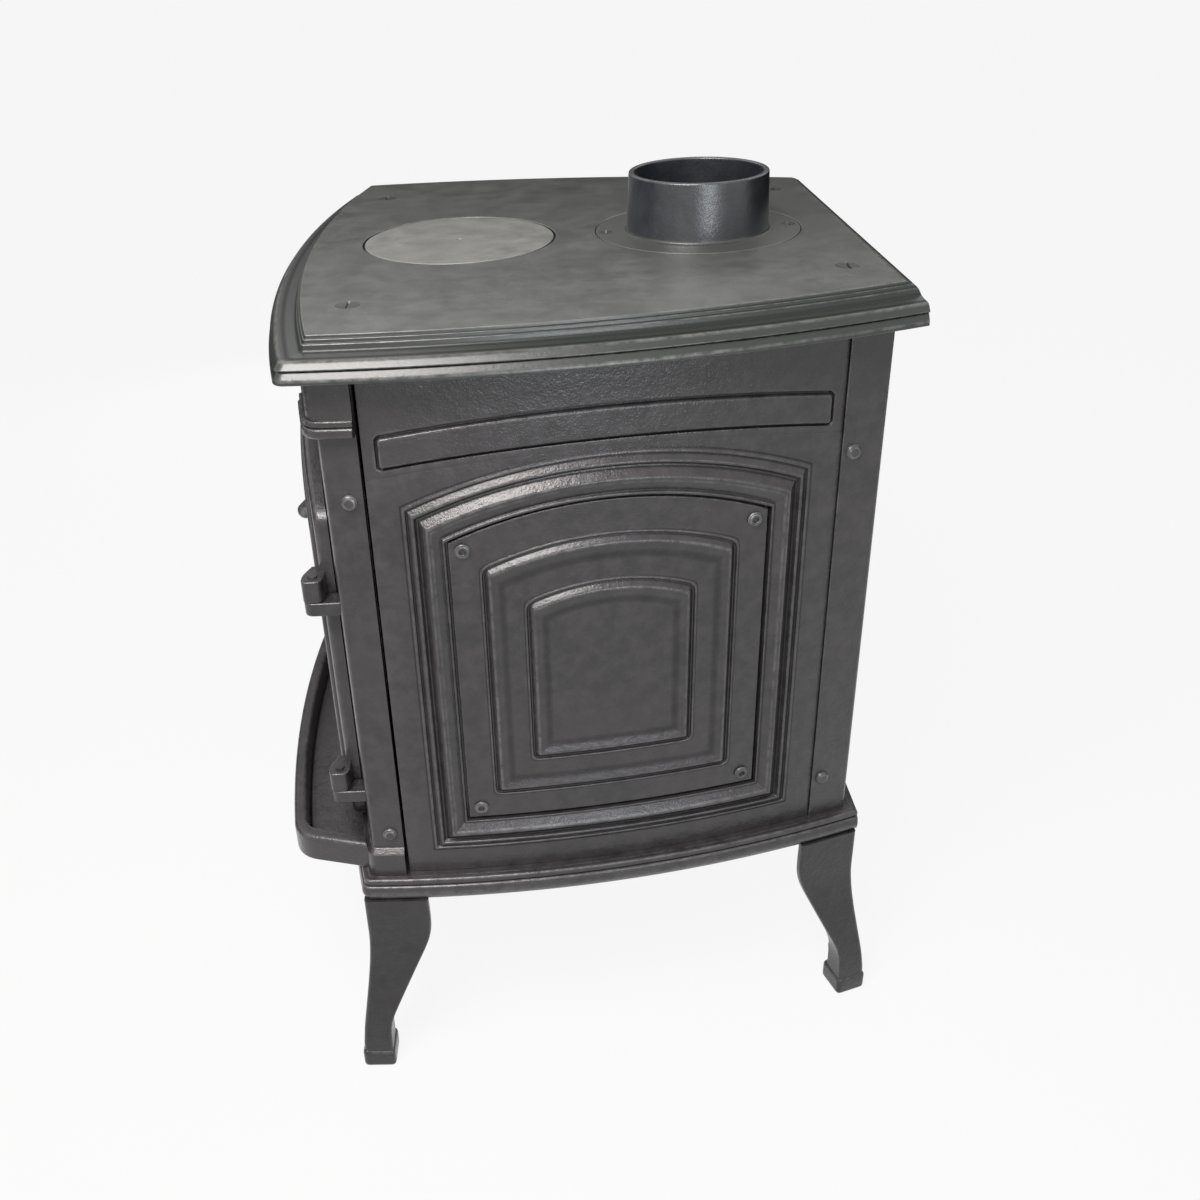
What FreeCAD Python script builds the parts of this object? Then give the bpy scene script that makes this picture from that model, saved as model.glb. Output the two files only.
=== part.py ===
import FreeCAD, Part
import math
import os

V = FreeCAD.Vector
UP = V(0, 0, 1)
RIGHT = V(1, 0, 0)
FORWARD = V(0, -1, 0)
BACK = V(0, 1, 0)

# A cast iron stove, in millimetres: +Z up, the door faces -Y, X = 0 is the plane of symmetry.
# Pieces are drawn about the middle of the body's depth and moved at the end to the middle of the footprint.

# Body plan, seen from above: wider at the door, with a bowed front and bowed sides
FRONT_WIDTH = 520.0
REAR_WIDTH = 397.0
BODY_DEPTH = 436.0
FRONT_BOW = 28.0
SIDE_BOW = 21.0

# Heights
LEG_HEIGHT = 197.0
BASE_THICKNESS = 22.0
TOP_THICKNESS = 10.0

# Walls, fits and cuts
WALL = 9.0
LAP_WALL = 6.0
LAP_LENGTH = 20.0
RUN_FIT = 0.06
SLIDE_FIT = 0.3
HOLE_FIT = 0.4
SEAT_GAP = 1.0
OVERRUN = 5.0
ROUGH_MESH = 1.0
MOULDING_STEPS = 6

# Top plate: a stepped, coved and beaded edge on three sides, a plain rounded edge at the back
TOP_EDGE_REACH = 25.0
TOP_EDGE_HEIGHT = 28.0
TOP_REAR_REACH = 18.0
TOP_REAR_ROUND = 9.0
TOP_CORNER_ROUNDS = (2.0, 9.0)
REBATE_DEPTH = 5.0

# Hotplate and flue collar
HOTPLATE_RADIUS = 84.0
HOTPLATE_Y = -116.0
HOTPLATE_GAP = 1.8
HOTPLATE_LEDGE = 9.0
HOTPLATE_BOSS = 6.0
HOTPLATE_PIP_RADIUS = 2.5
HOTPLATE_PIP_DEPTH = 1.5
FLUE_DISC_RADIUS = 90.0
FLUE_Y = 95.6
FLUE_DISC_GAP = 0.6
FLUE_LEDGE = 18.0
FLUE_BOSS = 7.0
COLLAR_RADIUS = 62.5
COLLAR_TAPER = 1.8
COLLAR_WALL = 5.0
COLLAR_HEIGHT = 50.0
COLLAR_FOOT_ROUND = 6.0
COLLAR_RIM_ROUND = 2.0
COLLAR_SCREW_INSET = 9.0
COLLAR_SCREW_HEAD_RADIUS = 6.0
COLLAR_SCREW_RADIUS = 3.0

# Tie rods that clamp the body between the top plate and the base
TIE_FRONT_SIDE = 70.0
TIE_FRONT_INSET = 23.0
TIE_REAR_SIDE = 51.5
TIE_REAR_INSET = 26.0
TIE_RADIUS = 4.0
TIE_HEAD_RADIUS = 9.0
TIE_HEAD_DEPTH = 5.0
TIE_SLOT_WIDTH = 2.5
TIE_SLOT_DEPTH = 1.8
NUT_ACROSS_FLATS = 13.0
NUT_HEIGHT = 6.5

# Base plate
BASE_EDGE_REACH = 15.0
BASE_REAR_REACH = 12.0
BASE_REAR_ROUND = 3.0
BASE_CORNER_ROUNDS = (3.0, 8.0)
BASE_FLOOR = 9.0
BASE_RIM = 16.0
LEG_BOSS_RADIUS = 46.0

# Legs: L section, with an S curve on the inner edge and a splayed toe
LEG_REACH = 11.0
LEG_WING = 58.0
LEG_WALL = 8.0
LEG_SPLAY = 18.0
LEG_ANKLE = 30.0
LEG_PAD = 7.0
LEG_BOLT_INSET = 32.0
TOE_HEIGHT = 25.0
TOE_PROUD = 1.5
TOE_ROUND = 3.0
LEG_BOLT_RADIUS = 4.0

# Front frame: columns that return round the corners, a cornice under the top, a plinth and the door opening
COLUMN_RETURN = 28.0
COLUMN_SEAM = 2.5
CORNICE_HEIGHT = 36.0
CORNICE_REACH = 7.0
CORNICE_BEAD_HEIGHT = 14.0
CORNICE_BEAD_REACH = 10.0
CORNICE_BEAD_ROUND = 4.5
PLINTH_HEIGHT = 28.0
PLINTH_REACH = 5.0
PLINTH_SLOPE = 4.0

# Door: crowned front, arched top, hung on lift-off hinges at its right edge
DOOR_WIDTH = 444.0
DOOR_CLEARANCE = 33.0
DOOR_HEIGHT = 304.0
DOOR_RISE = 62.0
DOOR_HEADROOM = 22.0
DOOR_GAP = 1.0
DOOR_EDGE = 11.0
DOOR_CROWN = 36.0
DOOR_ROUND = 5.0
DOOR_CORNER_ROUND = 9.0
DOOR_LAP_SIDE = 40.0
DOOR_LAP_BOTTOM = 12.0
DOOR_LAP_TOP = 14.0
WINDOW_STILE = 82.0
WINDOW_RAIL = 62.0
WINDOW_HEAD = 40.0
WINDOW_RISE = 36.0
WINDOW_BEAD_SET = 6.0
DOOR_BEAD_SET = 14.0
DOOR_BEAD_WIDTH = 11.0
DOOR_BEAD_PROUD = 3.5

# Glass and its seat, from the front: flat gasket, glass, retaining ring
GLASS_LAP = 9.0
GLASS_THICKNESS = 4.0
GLASS_GAP = 0.8
GASKET_THICKNESS = 1.0
GASKET_WIDTH = 6.0
RING_LAP = 18.0
RING_SEAT = 1.0
RING_THICKNESS = 3.0
RING_SCREW_RADIUS = 2.0
RING_SCREW_HEAD_RADIUS = 3.6
RING_SCREW_HEAD = 2.2
RING_SCREW_DEPTH = 6.0
ROPE_SET = 6.0
ROPE_WIDTH = 9.0
ROPE_DEPTH = 5.0

# Hinges
HINGE_INSET = 28.0
HINGE_REACH = 19.0
LUG_THICKNESS = 12.0
LUG_RADIUS = 9.0
LOWER_LUG_RISE = 32.0
HINGE_SPACING = 193.0
KNUCKLE_HEIGHT = 20.0
PIN_RADIUS = 4.0
PIN_HEAD = 1.5

# Handle, spindle and latch
SPINDLE_INSET = 54.0
SPINDLE_RISE = 167.0
SPINDLE_RADIUS = 5.0
HANDLE_BOSS_RADIUS = 15.0
HANDLE_BOSS_PROUD = 3.5
HUB_RADIUS = 12.0
HUB_LENGTH = 18.0
LEVER_RADIUS = 8.5
LEVER_BEND = 30.0
LEVER_DROOP = 45.0
LEVER_LENGTH = 45.0
TONGUE_LENGTH = 36.0
TONGUE_WIDTH = 13.0
TONGUE_THICKNESS = 6.0
SPINDLE_NUT_HEIGHT = 6.0
SPINDLE_TAIL = 2.0

# Ash lip: a rimmed shelf in front of the plinth
LIP_REACH = 67.0
LIP_HEIGHT = 27.0
LIP_ROOT_INSET = 6.0
LIP_END_TAPER = 18.0
LIP_RIM = 12.0
LIP_FLOOR = 6.0
LIP_CORNER_ROUND = 20.0
LIP_EDGE_ROUND = 4.5
LIP_BOLT_X = 150.0
LIP_BOLT_RISE = 16.0
LIP_BOLT_RADIUS = 3.0

# Side panels: arched strip above, arched frame round a bolted cover plate
STRIP_INSET = 12.0
STRIP_DROP = 76.0
STRIP_HEIGHT = 24.0
STRIP_ARCH = 13.0
STRIP_PROUD = 3.0
COVER_WIDTH = 254.0
COVER_HEADROOM = 142.0
COVER_ARCH = 27.0
COVER_RISE_ABOVE_BASE = 58.0
COVER_THICKNESS = 6.0
COVER_SEAT = 7.0
COVER_GAP = 2.5
COVER_LEDGE = 14.0
LEDGE_WALL = 7.0
LEDGE_LAND = 8.0
FRAME_ROOT = 3.0
FRAME_BEAD_SET = 3.0
FRAME_BEAD_WIDTH = 11.0
FRAME_BEAD_PROUD = 4.5
FRAME_RIDGE_SET = 18.0
FRAME_RIDGE_WIDTH = 7.0
FRAME_RIDGE_PROUD = 2.5
COVER_FRAME_INSETS = (27.0, 60.0)
COVER_FRAME_WIDTH = 12.0
COVER_FRAME_PROUD = 3.0
COVER_BOLT_INSET = 11.0
COVER_BOLT_DROP = 7.0
COVER_BOLT_HEAD_RADIUS = 6.5
COVER_BOLT_HEAD = 3.0
COVER_BOLT_RADIUS = 2.5
BEARER_DEPTH = 16.0
BEARER_THICKNESS = 8.0
BEARER_LENGTH = 300.0

# Rear panel: a flat back whose flanges show as strips at the rear of the sides
REAR_STRIP = 36.0
REAR_STRIP_PROUD = 2.5
REAR_RIB_WIDTH = 14.0
REAR_RIB_PROUD = 4.0
REAR_RIB_INSET = 40.0

# Bolts through the flanges of the front frame and of the rear panel
FLANGE_BOLT_INSET = 11.0
REAR_BOLT_INSET = 9.0
FLANGE_BOLT_HEAD_RADIUS = 6.0
FLANGE_BOLT_HEAD = 4.0
FLANGE_BOLT_RADIUS = 3.0
UPPER_BOLT_DROP = 103.0
LOWER_BOLT_RISE = 44.0

# Air slide under the base, pulled by a knob below the ash lip
SLIDE_WIDTH = 120.0
SLIDE_MARGIN = 8.0
SLIDE_LAND = 8.0
SLIDE_THICKNESS = 4.0
SLIDE_SET_BACK = 60.0
AIR_SLOT_WIDTH = 26.0
AIR_SLOT_LENGTH = 24.0
AIR_SLOT_PITCH = 36.0
AIR_SLOTS = 3
GUIDE_WIDTH = 14.0
GUIDE_LIP = 4.0
GUIDE_LIP_THICKNESS = 3.0
PULL_ROD_RADIUS = 3.5
PULL_KNOB_RADIUS = 9.5
PULL_KNOB_LENGTH = 16.0
PULL_REACH = 44.0

# Inside the firebox
PAN_CLEARANCE = 2.0
PAN_RAIL_X = 95.0
PAN_RAIL_WIDTH = 8.0
PAN_RAIL_LENGTH = 330.0
PAN_WIDTH = 270.0
PAN_DEPTH = 330.0
PAN_HEIGHT = 34.0
PAN_SHEET = 2.0
PAN_GRIP_WIDTH = 90.0
PAN_GRIP_REACH = 14.0
BED_GAP = 3.0
BED_THICKNESS = 10.0
BED_DEPTH = 360.0
GRATE_WIDTH = 230.0
GRATE_DEPTH = 220.0
GRATE_THICKNESS = 8.0
GRATE_LEDGE = 10.0
GRATE_GAP = 1.5
GRATE_SLOT_WIDTH = 11.0
GRATE_SLOTS = 9
GRATE_MARGIN = 14.0
BRICK_GAP = 12.0
BRICK_THICKNESS = 22.0
BRICK_HEIGHT = 218.0
BRICK_DEPTH = 340.0
BAFFLE_THICKNESS = 7.0
BAFFLE_DEPTH = 250.0
GUARD_HEIGHT = 52.0
GUARD_THICKNESS = 8.0
GUARD_SLOT_WIDTH = 12.0
GUARD_SLOTS = 7
GUARD_MARGIN = 12.0

# Moulded edges as shares of their reach and height, from the flat inwards to the underside.
# A row with one point is a straight stretch to it; a row with two is an arc through the first to the second.
TOP_EDGE_SHARES = (
    ((0.00, 0.00),),
    ((0.01, 0.09),),
    ((0.06, 0.11),),
    ((0.07, 0.21),),
    ((0.12, 0.23),),
    ((0.26, 0.38), (0.56, 0.44)),
    ((0.88, 0.50), (0.97, 0.63)),
    ((0.93, 0.65),),
    ((0.97, 0.67),),
    ((1.00, 0.82), (0.93, 1.00)),
)
BASE_EDGE_SHARES = (
    ((0.50, 0.00),),
    ((0.68, 0.08), (0.76, 0.24)),
    ((0.66, 0.28),),
    ((0.78, 0.32),),
    ((1.00, 0.66), (0.80, 1.00)),
)
# Heights of the leg's bends, and points half-way round its curves, as shares of the leg's height or width
LEG_KNEE_SHARE = 0.75
LEG_CALF_SHARE = 0.51
LEG_ANKLE_SHARE = 0.28
LEG_CURVE_SHARES = (0.90, 0.65, 0.38, 0.14)
LEG_SHIN_SHARES = (0.45, 0.36)
# How far a raised frame's crest is rounded, how near a point lies to a radius,
# and the rise of the firebox opening's arch to that of the door's
FILLET_SHARE = 0.6
ROUNDING_SHARE = 1e-6
OPENING_RISE_SHARE = 0.8

# Levels and planes that follow
BASE_Z = LEG_HEIGHT
FLOOR_Z = BASE_Z + BASE_THICKNESS
DOOR_Z = FLOOR_Z + DOOR_CLEARANCE
DOOR_TOP_Z = DOOR_Z + DOOR_HEIGHT + DOOR_RISE
SKIRT_Z = DOOR_TOP_Z + DOOR_HEADROOM + CORNICE_BEAD_HEIGHT + CORNICE_HEIGHT
COOK_Z = SKIRT_Z + TOP_EDGE_HEIGHT
ROOF_Z = COOK_Z - TOP_THICKNESS
FRONT_Y = -BODY_DEPTH / 2
REAR_Y = BODY_DEPTH / 2
FLANGE_END_Y = FRONT_Y + COLUMN_RETURN
PANEL_FRONT_Y = FLANGE_END_Y + COLUMN_SEAM
PANEL_REAR_Y = REAR_Y - REAR_STRIP
TIE_FRONT_X = FRONT_WIDTH / 2 - TIE_FRONT_SIDE
TIE_REAR_X = REAR_WIDTH / 2 - TIE_REAR_SIDE
STRIP_Z = SKIRT_Z - STRIP_DROP
COVER_Z = FLOOR_Z + COVER_RISE_ABOVE_BASE
COVER_HEIGHT = SKIRT_Z - COVER_HEADROOM - COVER_Z
SILL_Z = DOOR_Z + DOOR_LAP_BOTTOM
PAN_Z = SILL_Z + PAN_CLEARANCE
BEARER_Z = PAN_Z + PAN_HEIGHT + PAN_CLEARANCE
BED_Z = BEARER_Z + BEARER_THICKNESS
FIRE_Z = BED_Z + BED_THICKNESS
BRICK_TOP_Z = FIRE_Z + BRICK_HEIGHT


class Bow:
    """An arc in plan from one corner to the next, bulging to the right of the way from start to end."""

    def __init__(self, start, end, bulge):
        chord = end - start
        half = chord.Length / 2
        self.radius = (half * half + bulge * bulge) / (2 * bulge)
        self.outward = V(chord.y, -chord.x, 0).normalize()
        self.centre = (start + end) * 0.5 - self.outward * (self.radius - bulge)

    def x_at(self, y, grow=0.0):
        """X of the arc, moved outward by grow, at a depth y (for the right side)."""
        return self.centre.x + math.sqrt((self.radius + grow) ** 2 - (y - self.centre.y) ** 2)

    def y_at(self, x, grow=0.0):
        """Y of the arc, moved outward by grow, at a width x (for the front)."""
        return self.centre.y - math.sqrt((self.radius + grow) ** 2 - (x - self.centre.x) ** 2)

    def normal_at_y(self, y):
        """Outward direction of the right side at depth y."""
        return (V(self.x_at(y), y, 0) - self.centre).normalize()


FRONT = Bow(V(-FRONT_WIDTH / 2, FRONT_Y), V(FRONT_WIDTH / 2, FRONT_Y), FRONT_BOW)
SIDE = Bow(V(FRONT_WIDTH / 2, FRONT_Y), V(REAR_WIDTH / 2, REAR_Y), SIDE_BOW)
DOOR_HALF = DOOR_WIDTH / 2
DOOR_EDGE_Y = FRONT.y_at(DOOR_HALF, DOOR_GAP + DOOR_EDGE)
DOOR_FRONT = Bow(V(-DOOR_HALF, DOOR_EDGE_Y), V(DOOR_HALF, DOOR_EDGE_Y), DOOR_CROWN)
RELIEF_Y = (PANEL_FRONT_Y + PANEL_REAR_Y) / 2
SLIDE_Y = FRONT_Y + SLIDE_SET_BACK
SLIDE_TRAVEL = AIR_SLOT_LENGTH + SLIDE_LAND
SLIDE_LENGTH = SLIDE_TRAVEL + AIR_SLOT_LENGTH + 2 * SLIDE_MARGIN


# Plain helpers

def mirrored(shape):
    """The same shape on the left of the plane of symmetry."""
    return shape.mirror(V(0, 0, 0), RIGHT)


def block(x0, x1, y0, y1, z0, z1):
    """A box between three pairs of planes."""
    return Part.makeBox(x1 - x0, y1 - y0, z1 - z0, V(x0, y0, z0))


def rod(radius, length, foot, direction=UP):
    """A cylinder that starts at foot and runs along direction."""
    return Part.makeCylinder(radius, length, foot, direction)


def fuse(shapes):
    """One solid from pieces of the same casting."""
    whole = shapes[0].multiFuse(shapes[1:]) if len(shapes) > 1 else shapes[0]
    return whole.removeSplitter()


def group(shapes):
    """Separate solids kept together as one node."""
    return Part.makeCompound(shapes)


def extruded(edges, travel):
    """A solid from a closed run of edges, carried along travel."""
    return Part.Face(Part.Wire(Part.__sortEdges__(edges))).extrude(travel)


def line(a, b):
    return Part.LineSegment(a, b).toShape()


def arc(a, through, b):
    return Part.Arc(a, through, b).toShape()


def polygon(points, travel):
    """A solid from straight edges between points, carried along travel."""
    return Part.Face(Part.makePolygon(list(points) + [points[0]])).extrude(travel)


def hexagon(across_flats, height, foot, direction=UP):
    """A six-sided prism that starts at foot and runs along direction."""
    reach = across_flats / math.sqrt(3)
    turns = [math.radians(60 * i) for i in range(6)]
    prism = polygon([V(reach * math.cos(a), reach * math.sin(a), 0) for a in turns], UP * height)
    return placed(prism, foot, direction)


def placed(shape, foot, direction):
    """A shape drawn along +Z from the origin, turned to direction and moved to foot."""
    copy = shape.copy()
    copy.Placement = FreeCAD.Placement(foot, FreeCAD.Rotation(UP, direction))
    return copy


def slotted_screw(head_radius, head_depth, radius, length):
    """A countersunk screw below the origin, its slotted head flush with z = 0."""
    head = Part.makeCone(radius, head_radius, head_depth, V(0, 0, -head_depth))
    screw = head.fuse(rod(radius, length, V(0, 0, -length)))
    slot = block(-head_radius, head_radius, -TIE_SLOT_WIDTH / 2, TIE_SLOT_WIDTH / 2, -TIE_SLOT_DEPTH, OVERRUN)
    return screw.cut(slot)


def countersink(head_radius, head_depth, radius, length):
    """The hole that such a screw needs, with its clearance."""
    wide = head_radius + HOLE_FIT
    cone = Part.makeCone(radius + HOLE_FIT, wide, head_depth, V(0, 0, -head_depth))
    mouth = rod(wide, OVERRUN, V(0, 0, 0))
    return fuse([cone, mouth, rod(radius + HOLE_FIT, length, V(0, 0, -length))])


def button_bolt(head_radius, head, radius, length):
    """A low domed head on z = 0 with its shank below."""
    dome_radius = (head_radius ** 2 + head ** 2) / (2 * head)
    ball = Part.makeSphere(dome_radius, V(0, 0, head - dome_radius))
    dome = ball.common(rod(head_radius, head, V(0, 0, 0)))
    return dome.fuse(rod(radius, length, V(0, 0, -length)))


# Shapes that follow the bowed plan

def corner(grow):
    """Where the front and the right side meet when both are moved outward by grow."""
    r0 = FRONT.radius + grow
    r1 = SIDE.radius + grow
    way = SIDE.centre - FRONT.centre
    along = (r0 * r0 - r1 * r1 + way.Length ** 2) / (2 * way.Length)
    across = math.sqrt(r0 * r0 - along * along)
    unit = V(way).normalize()
    foot = FRONT.centre + unit * along
    side = V(-unit.y, unit.x, 0) * across
    return min((foot + side, foot - side), key=lambda p: p.y)


def plan_prism(grow, z0, z1, rear_y=REAR_Y):
    """The body's plan outline, moved outward by grow, as a solid between two heights."""
    right_front = corner(grow)
    right_rear = V(SIDE.x_at(rear_y, grow), rear_y, 0)
    middle_y = (right_front.y + rear_y) / 2
    right_middle = V(SIDE.x_at(middle_y, grow), middle_y, 0)
    front_middle = V(0, FRONT.y_at(0, grow), 0)
    flip = [V(-p.x, p.y, 0) for p in (right_front, right_middle, right_rear)]
    edges = [
        arc(flip[0], front_middle, right_front),
        arc(right_front, right_middle, right_rear),
        line(right_rear, flip[2]),
        arc(flip[2], flip[1], flip[0]),
    ]
    prism = extruded(edges, UP * (z1 - z0))
    prism.translate(UP * z0)
    return prism


def side_shell(grow_in, grow_out, y0, y1, z0, z1):
    """A bowed slab of the right side, between two outward moves of the plan."""
    middle = (y0 + y1) / 2
    outer = [V(SIDE.x_at(y, grow_out), y, z0) for y in (y0, middle, y1)]
    inner = [V(SIDE.x_at(y, grow_in), y, z0) for y in (y0, middle, y1)]
    edges = [arc(*outer), line(outer[2], inner[2]), arc(*reversed(inner)), line(inner[0], outer[0])]
    return extruded(edges, UP * (z1 - z0))


def bowed_slab(back, back_grow, front, front_grow, half, z0, z1):
    """A slab across the front between two arcs, as wide as twice half."""
    ends = (-half, 0, half)
    near = [V(x, front.y_at(x, front_grow), z0) for x in ends]
    far = [V(x, back.y_at(x, back_grow), z0) for x in ends]
    edges = [arc(*near), line(near[2], far[2]), arc(*reversed(far)), line(far[0], near[0])]
    return extruded(edges, UP * (z1 - z0))


def arch(half, z0, z1, rise, centre, across, travel):
    """An arched outline carried along travel: straight foot and sides, and an arc over the top."""
    at = lambda u, z: centre + across * u + UP * z
    foot = [at(-half, z0), at(half, z0)]
    shoulders = [at(half, z1), at(-half, z1)]
    edges = [
        line(foot[0], foot[1]),
        line(foot[1], shoulders[0]),
        arc(shoulders[0], at(0, z1 + rise), shoulders[1]),
        line(shoulders[1], foot[0]),
    ]
    return extruded(edges, travel)


def side_arch(inset):
    """The cover plate's outline, shrunk by inset, driven sideways right through the right side."""
    z0 = COVER_Z + inset
    z1 = COVER_Z + COVER_HEIGHT - inset
    half = COVER_WIDTH / 2 - inset
    rise = COVER_ARCH * half / (COVER_WIDTH / 2)
    return arch(half, z0, z1, rise, V(0, RELIEF_Y, 0), BACK, RIGHT * FRONT_WIDTH)


def side_frame(outer_inset, width, proud, seat=0.0):
    """A raised arched frame rooted in the right side, its outer edge inset from the cover plate's outline."""
    shell = side_shell(seat - FRAME_ROOT, seat + proud, PANEL_FRONT_Y, PANEL_REAR_Y, FLOOR_Z, ROOF_Z)
    ring = side_arch(outer_inset).cut(side_arch(outer_inset + width))
    frame = shell.common(ring)
    skin_radius = SIDE.radius + seat + proud
    crest = [e for e in frame.Edges if on_crest(e, skin_radius)]
    return frame.makeFillet(proud * FILLET_SHARE, crest)


def on_crest(edge, radius):
    """True for an edge that lies on the outer skin of a raised frame."""
    mid = edge.valueAt((edge.FirstParameter + edge.LastParameter) / 2)
    reach = math.hypot(mid.x - SIDE.centre.x, mid.y - SIDE.centre.y)
    return abs(reach - radius) < radius * ROUNDING_SHARE


def moulding_points(shares):
    """A moulded edge as shares of its reach and height, its arcs as short straight steps."""
    at = lambda share: V(share[0], share[1], 0)
    points = [at(shares[0][0])]
    for row in shares[1:]:
        if len(row) == 2:
            points += arc(points[-1], at(row[0]), at(row[1])).discretize(MOULDING_STEPS)[1:]
        else:
            points.append(at(row[0]))
    return points


def plan_wire(grow, corner_round, rear_y, z):
    """The body's plan outline moved outward by grow, with rounded front corners, as a wire at a height."""
    centre = corner(grow - corner_round)
    front_way = (centre - FRONT.centre).normalize()
    side_way = (centre - SIDE.centre).normalize()
    turn_in = FRONT.centre + front_way * (FRONT.radius + grow)
    turn_mid = centre + (front_way + side_way).normalize() * corner_round
    turn_out = SIDE.centre + side_way * (SIDE.radius + grow)
    rear = V(SIDE.x_at(rear_y, grow), rear_y, 0)
    side_y = (turn_out.y + rear_y) / 2
    side_mid = V(SIDE.x_at(side_y, grow), side_y, 0)
    right = [p + UP * z for p in (turn_in, turn_mid, turn_out, side_mid, rear)]
    left = [V(-p.x, p.y, p.z) for p in right]
    edges = [
        arc(left[0], V(0, FRONT.y_at(0, grow), z), right[0]),
        arc(*right[0:3]),
        arc(*right[2:5]),
        line(right[4], left[4]),
        arc(left[4], left[3], left[2]),
        arc(left[2], left[1], left[0]),
    ]
    return Part.Wire(edges)


def moulded_plate(reach, height, shares, z_top, rear_y, rear_round, corner_rounds):
    """A plate of the body's plan: moulded at the front and sides, rounded over at the back.

    corner_rounds are the front corners' radii at the flat and at the moulding's full reach.
    """
    wires = []
    for point in moulding_points(shares):
        drop = point.y * height
        dip = max(rear_round - drop, 0)
        back_y = rear_y - rear_round + math.sqrt(rear_round ** 2 - dip ** 2)
        corner_round = corner_rounds[0] + (corner_rounds[1] - corner_rounds[0]) * point.x
        wires.append(plan_wire(point.x * reach, corner_round, back_y, z_top - drop))
    return Part.makeLoft(wires, True, True)


# Top plate and what sits in it

def tie_places():
    """Plan places of the four tie rods."""
    front_y = FRONT_Y + TIE_FRONT_INSET
    rear_y = REAR_Y - TIE_REAR_INSET
    return [V(s * x, y, 0) for x, y in ((TIE_FRONT_X, front_y), (TIE_REAR_X, rear_y)) for s in (1, -1)]


def collar_screw_places():
    """Places of the two screws in the flue disc, before and behind the collar."""
    reach = FLUE_DISC_RADIUS - COLLAR_SCREW_INSET
    return [V(0, FLUE_Y + s * reach, COOK_Z) for s in (-1, 1)]


def make_top_plate():
    rear_y = REAR_Y + TOP_REAR_REACH
    plate = moulded_plate(TOP_EDGE_REACH, TOP_EDGE_HEIGHT, TOP_EDGE_SHARES, COOK_Z, rear_y, TOP_REAR_ROUND,
                          TOP_CORNER_ROUNDS)
    hollow = plan_prism(REAR_STRIP_PROUD + SEAT_GAP, SKIRT_Z - OVERRUN, ROOF_Z, REAR_Y + SEAT_GAP)
    cuts = [hollow]
    for y, radius, ledge in ((HOTPLATE_Y, HOTPLATE_RADIUS + HOTPLATE_GAP, HOTPLATE_LEDGE),
                             (FLUE_Y, FLUE_DISC_RADIUS + FLUE_DISC_GAP, FLUE_LEDGE)):
        cuts.append(rod(radius, REBATE_DEPTH + OVERRUN, V(0, y, COOK_Z - REBATE_DEPTH)))
        cuts.append(rod(radius - ledge, TOP_THICKNESS + OVERRUN, V(0, y, ROOF_Z - OVERRUN)))
    sink = countersink(TIE_HEAD_RADIUS, TIE_HEAD_DEPTH, TIE_RADIUS, TOP_THICKNESS + OVERRUN)
    cuts += [placed(sink, p + UP * COOK_Z, UP) for p in tie_places()]
    cuts += [rod(COLLAR_SCREW_RADIUS, TOP_THICKNESS + OVERRUN, V(p.x, p.y, ROOF_Z - OVERRUN))
             for p in collar_screw_places()]
    return plate.cut(cuts)


def make_tie_rods():
    length = COOK_Z - BASE_Z + NUT_HEIGHT
    screw = slotted_screw(TIE_HEAD_RADIUS, TIE_HEAD_DEPTH, TIE_RADIUS, length)
    return group([placed(screw, p + UP * COOK_Z, UP) for p in tie_places()])


def make_tie_nuts():
    nuts = []
    for place in tie_places():
        foot = place + UP * (BASE_Z - NUT_HEIGHT)
        nut = hexagon(NUT_ACROSS_FLATS, NUT_HEIGHT, foot)
        nuts.append(nut.cut(rod(TIE_RADIUS, NUT_HEIGHT, foot)))
    return group(nuts)


def make_hotplate():
    disc = rod(HOTPLATE_RADIUS, REBATE_DEPTH, V(0, HOTPLATE_Y, COOK_Z - REBATE_DEPTH))
    boss_radius = HOTPLATE_RADIUS - HOTPLATE_LEDGE
    boss = rod(boss_radius, HOTPLATE_BOSS, V(0, HOTPLATE_Y, COOK_Z - REBATE_DEPTH - HOTPLATE_BOSS))
    pip_foot = V(0, HOTPLATE_Y, COOK_Z - HOTPLATE_PIP_DEPTH)
    pip = rod(HOTPLATE_PIP_RADIUS, HOTPLATE_PIP_DEPTH + OVERRUN, pip_foot)
    return fuse([disc, boss]).cut(pip)


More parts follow.
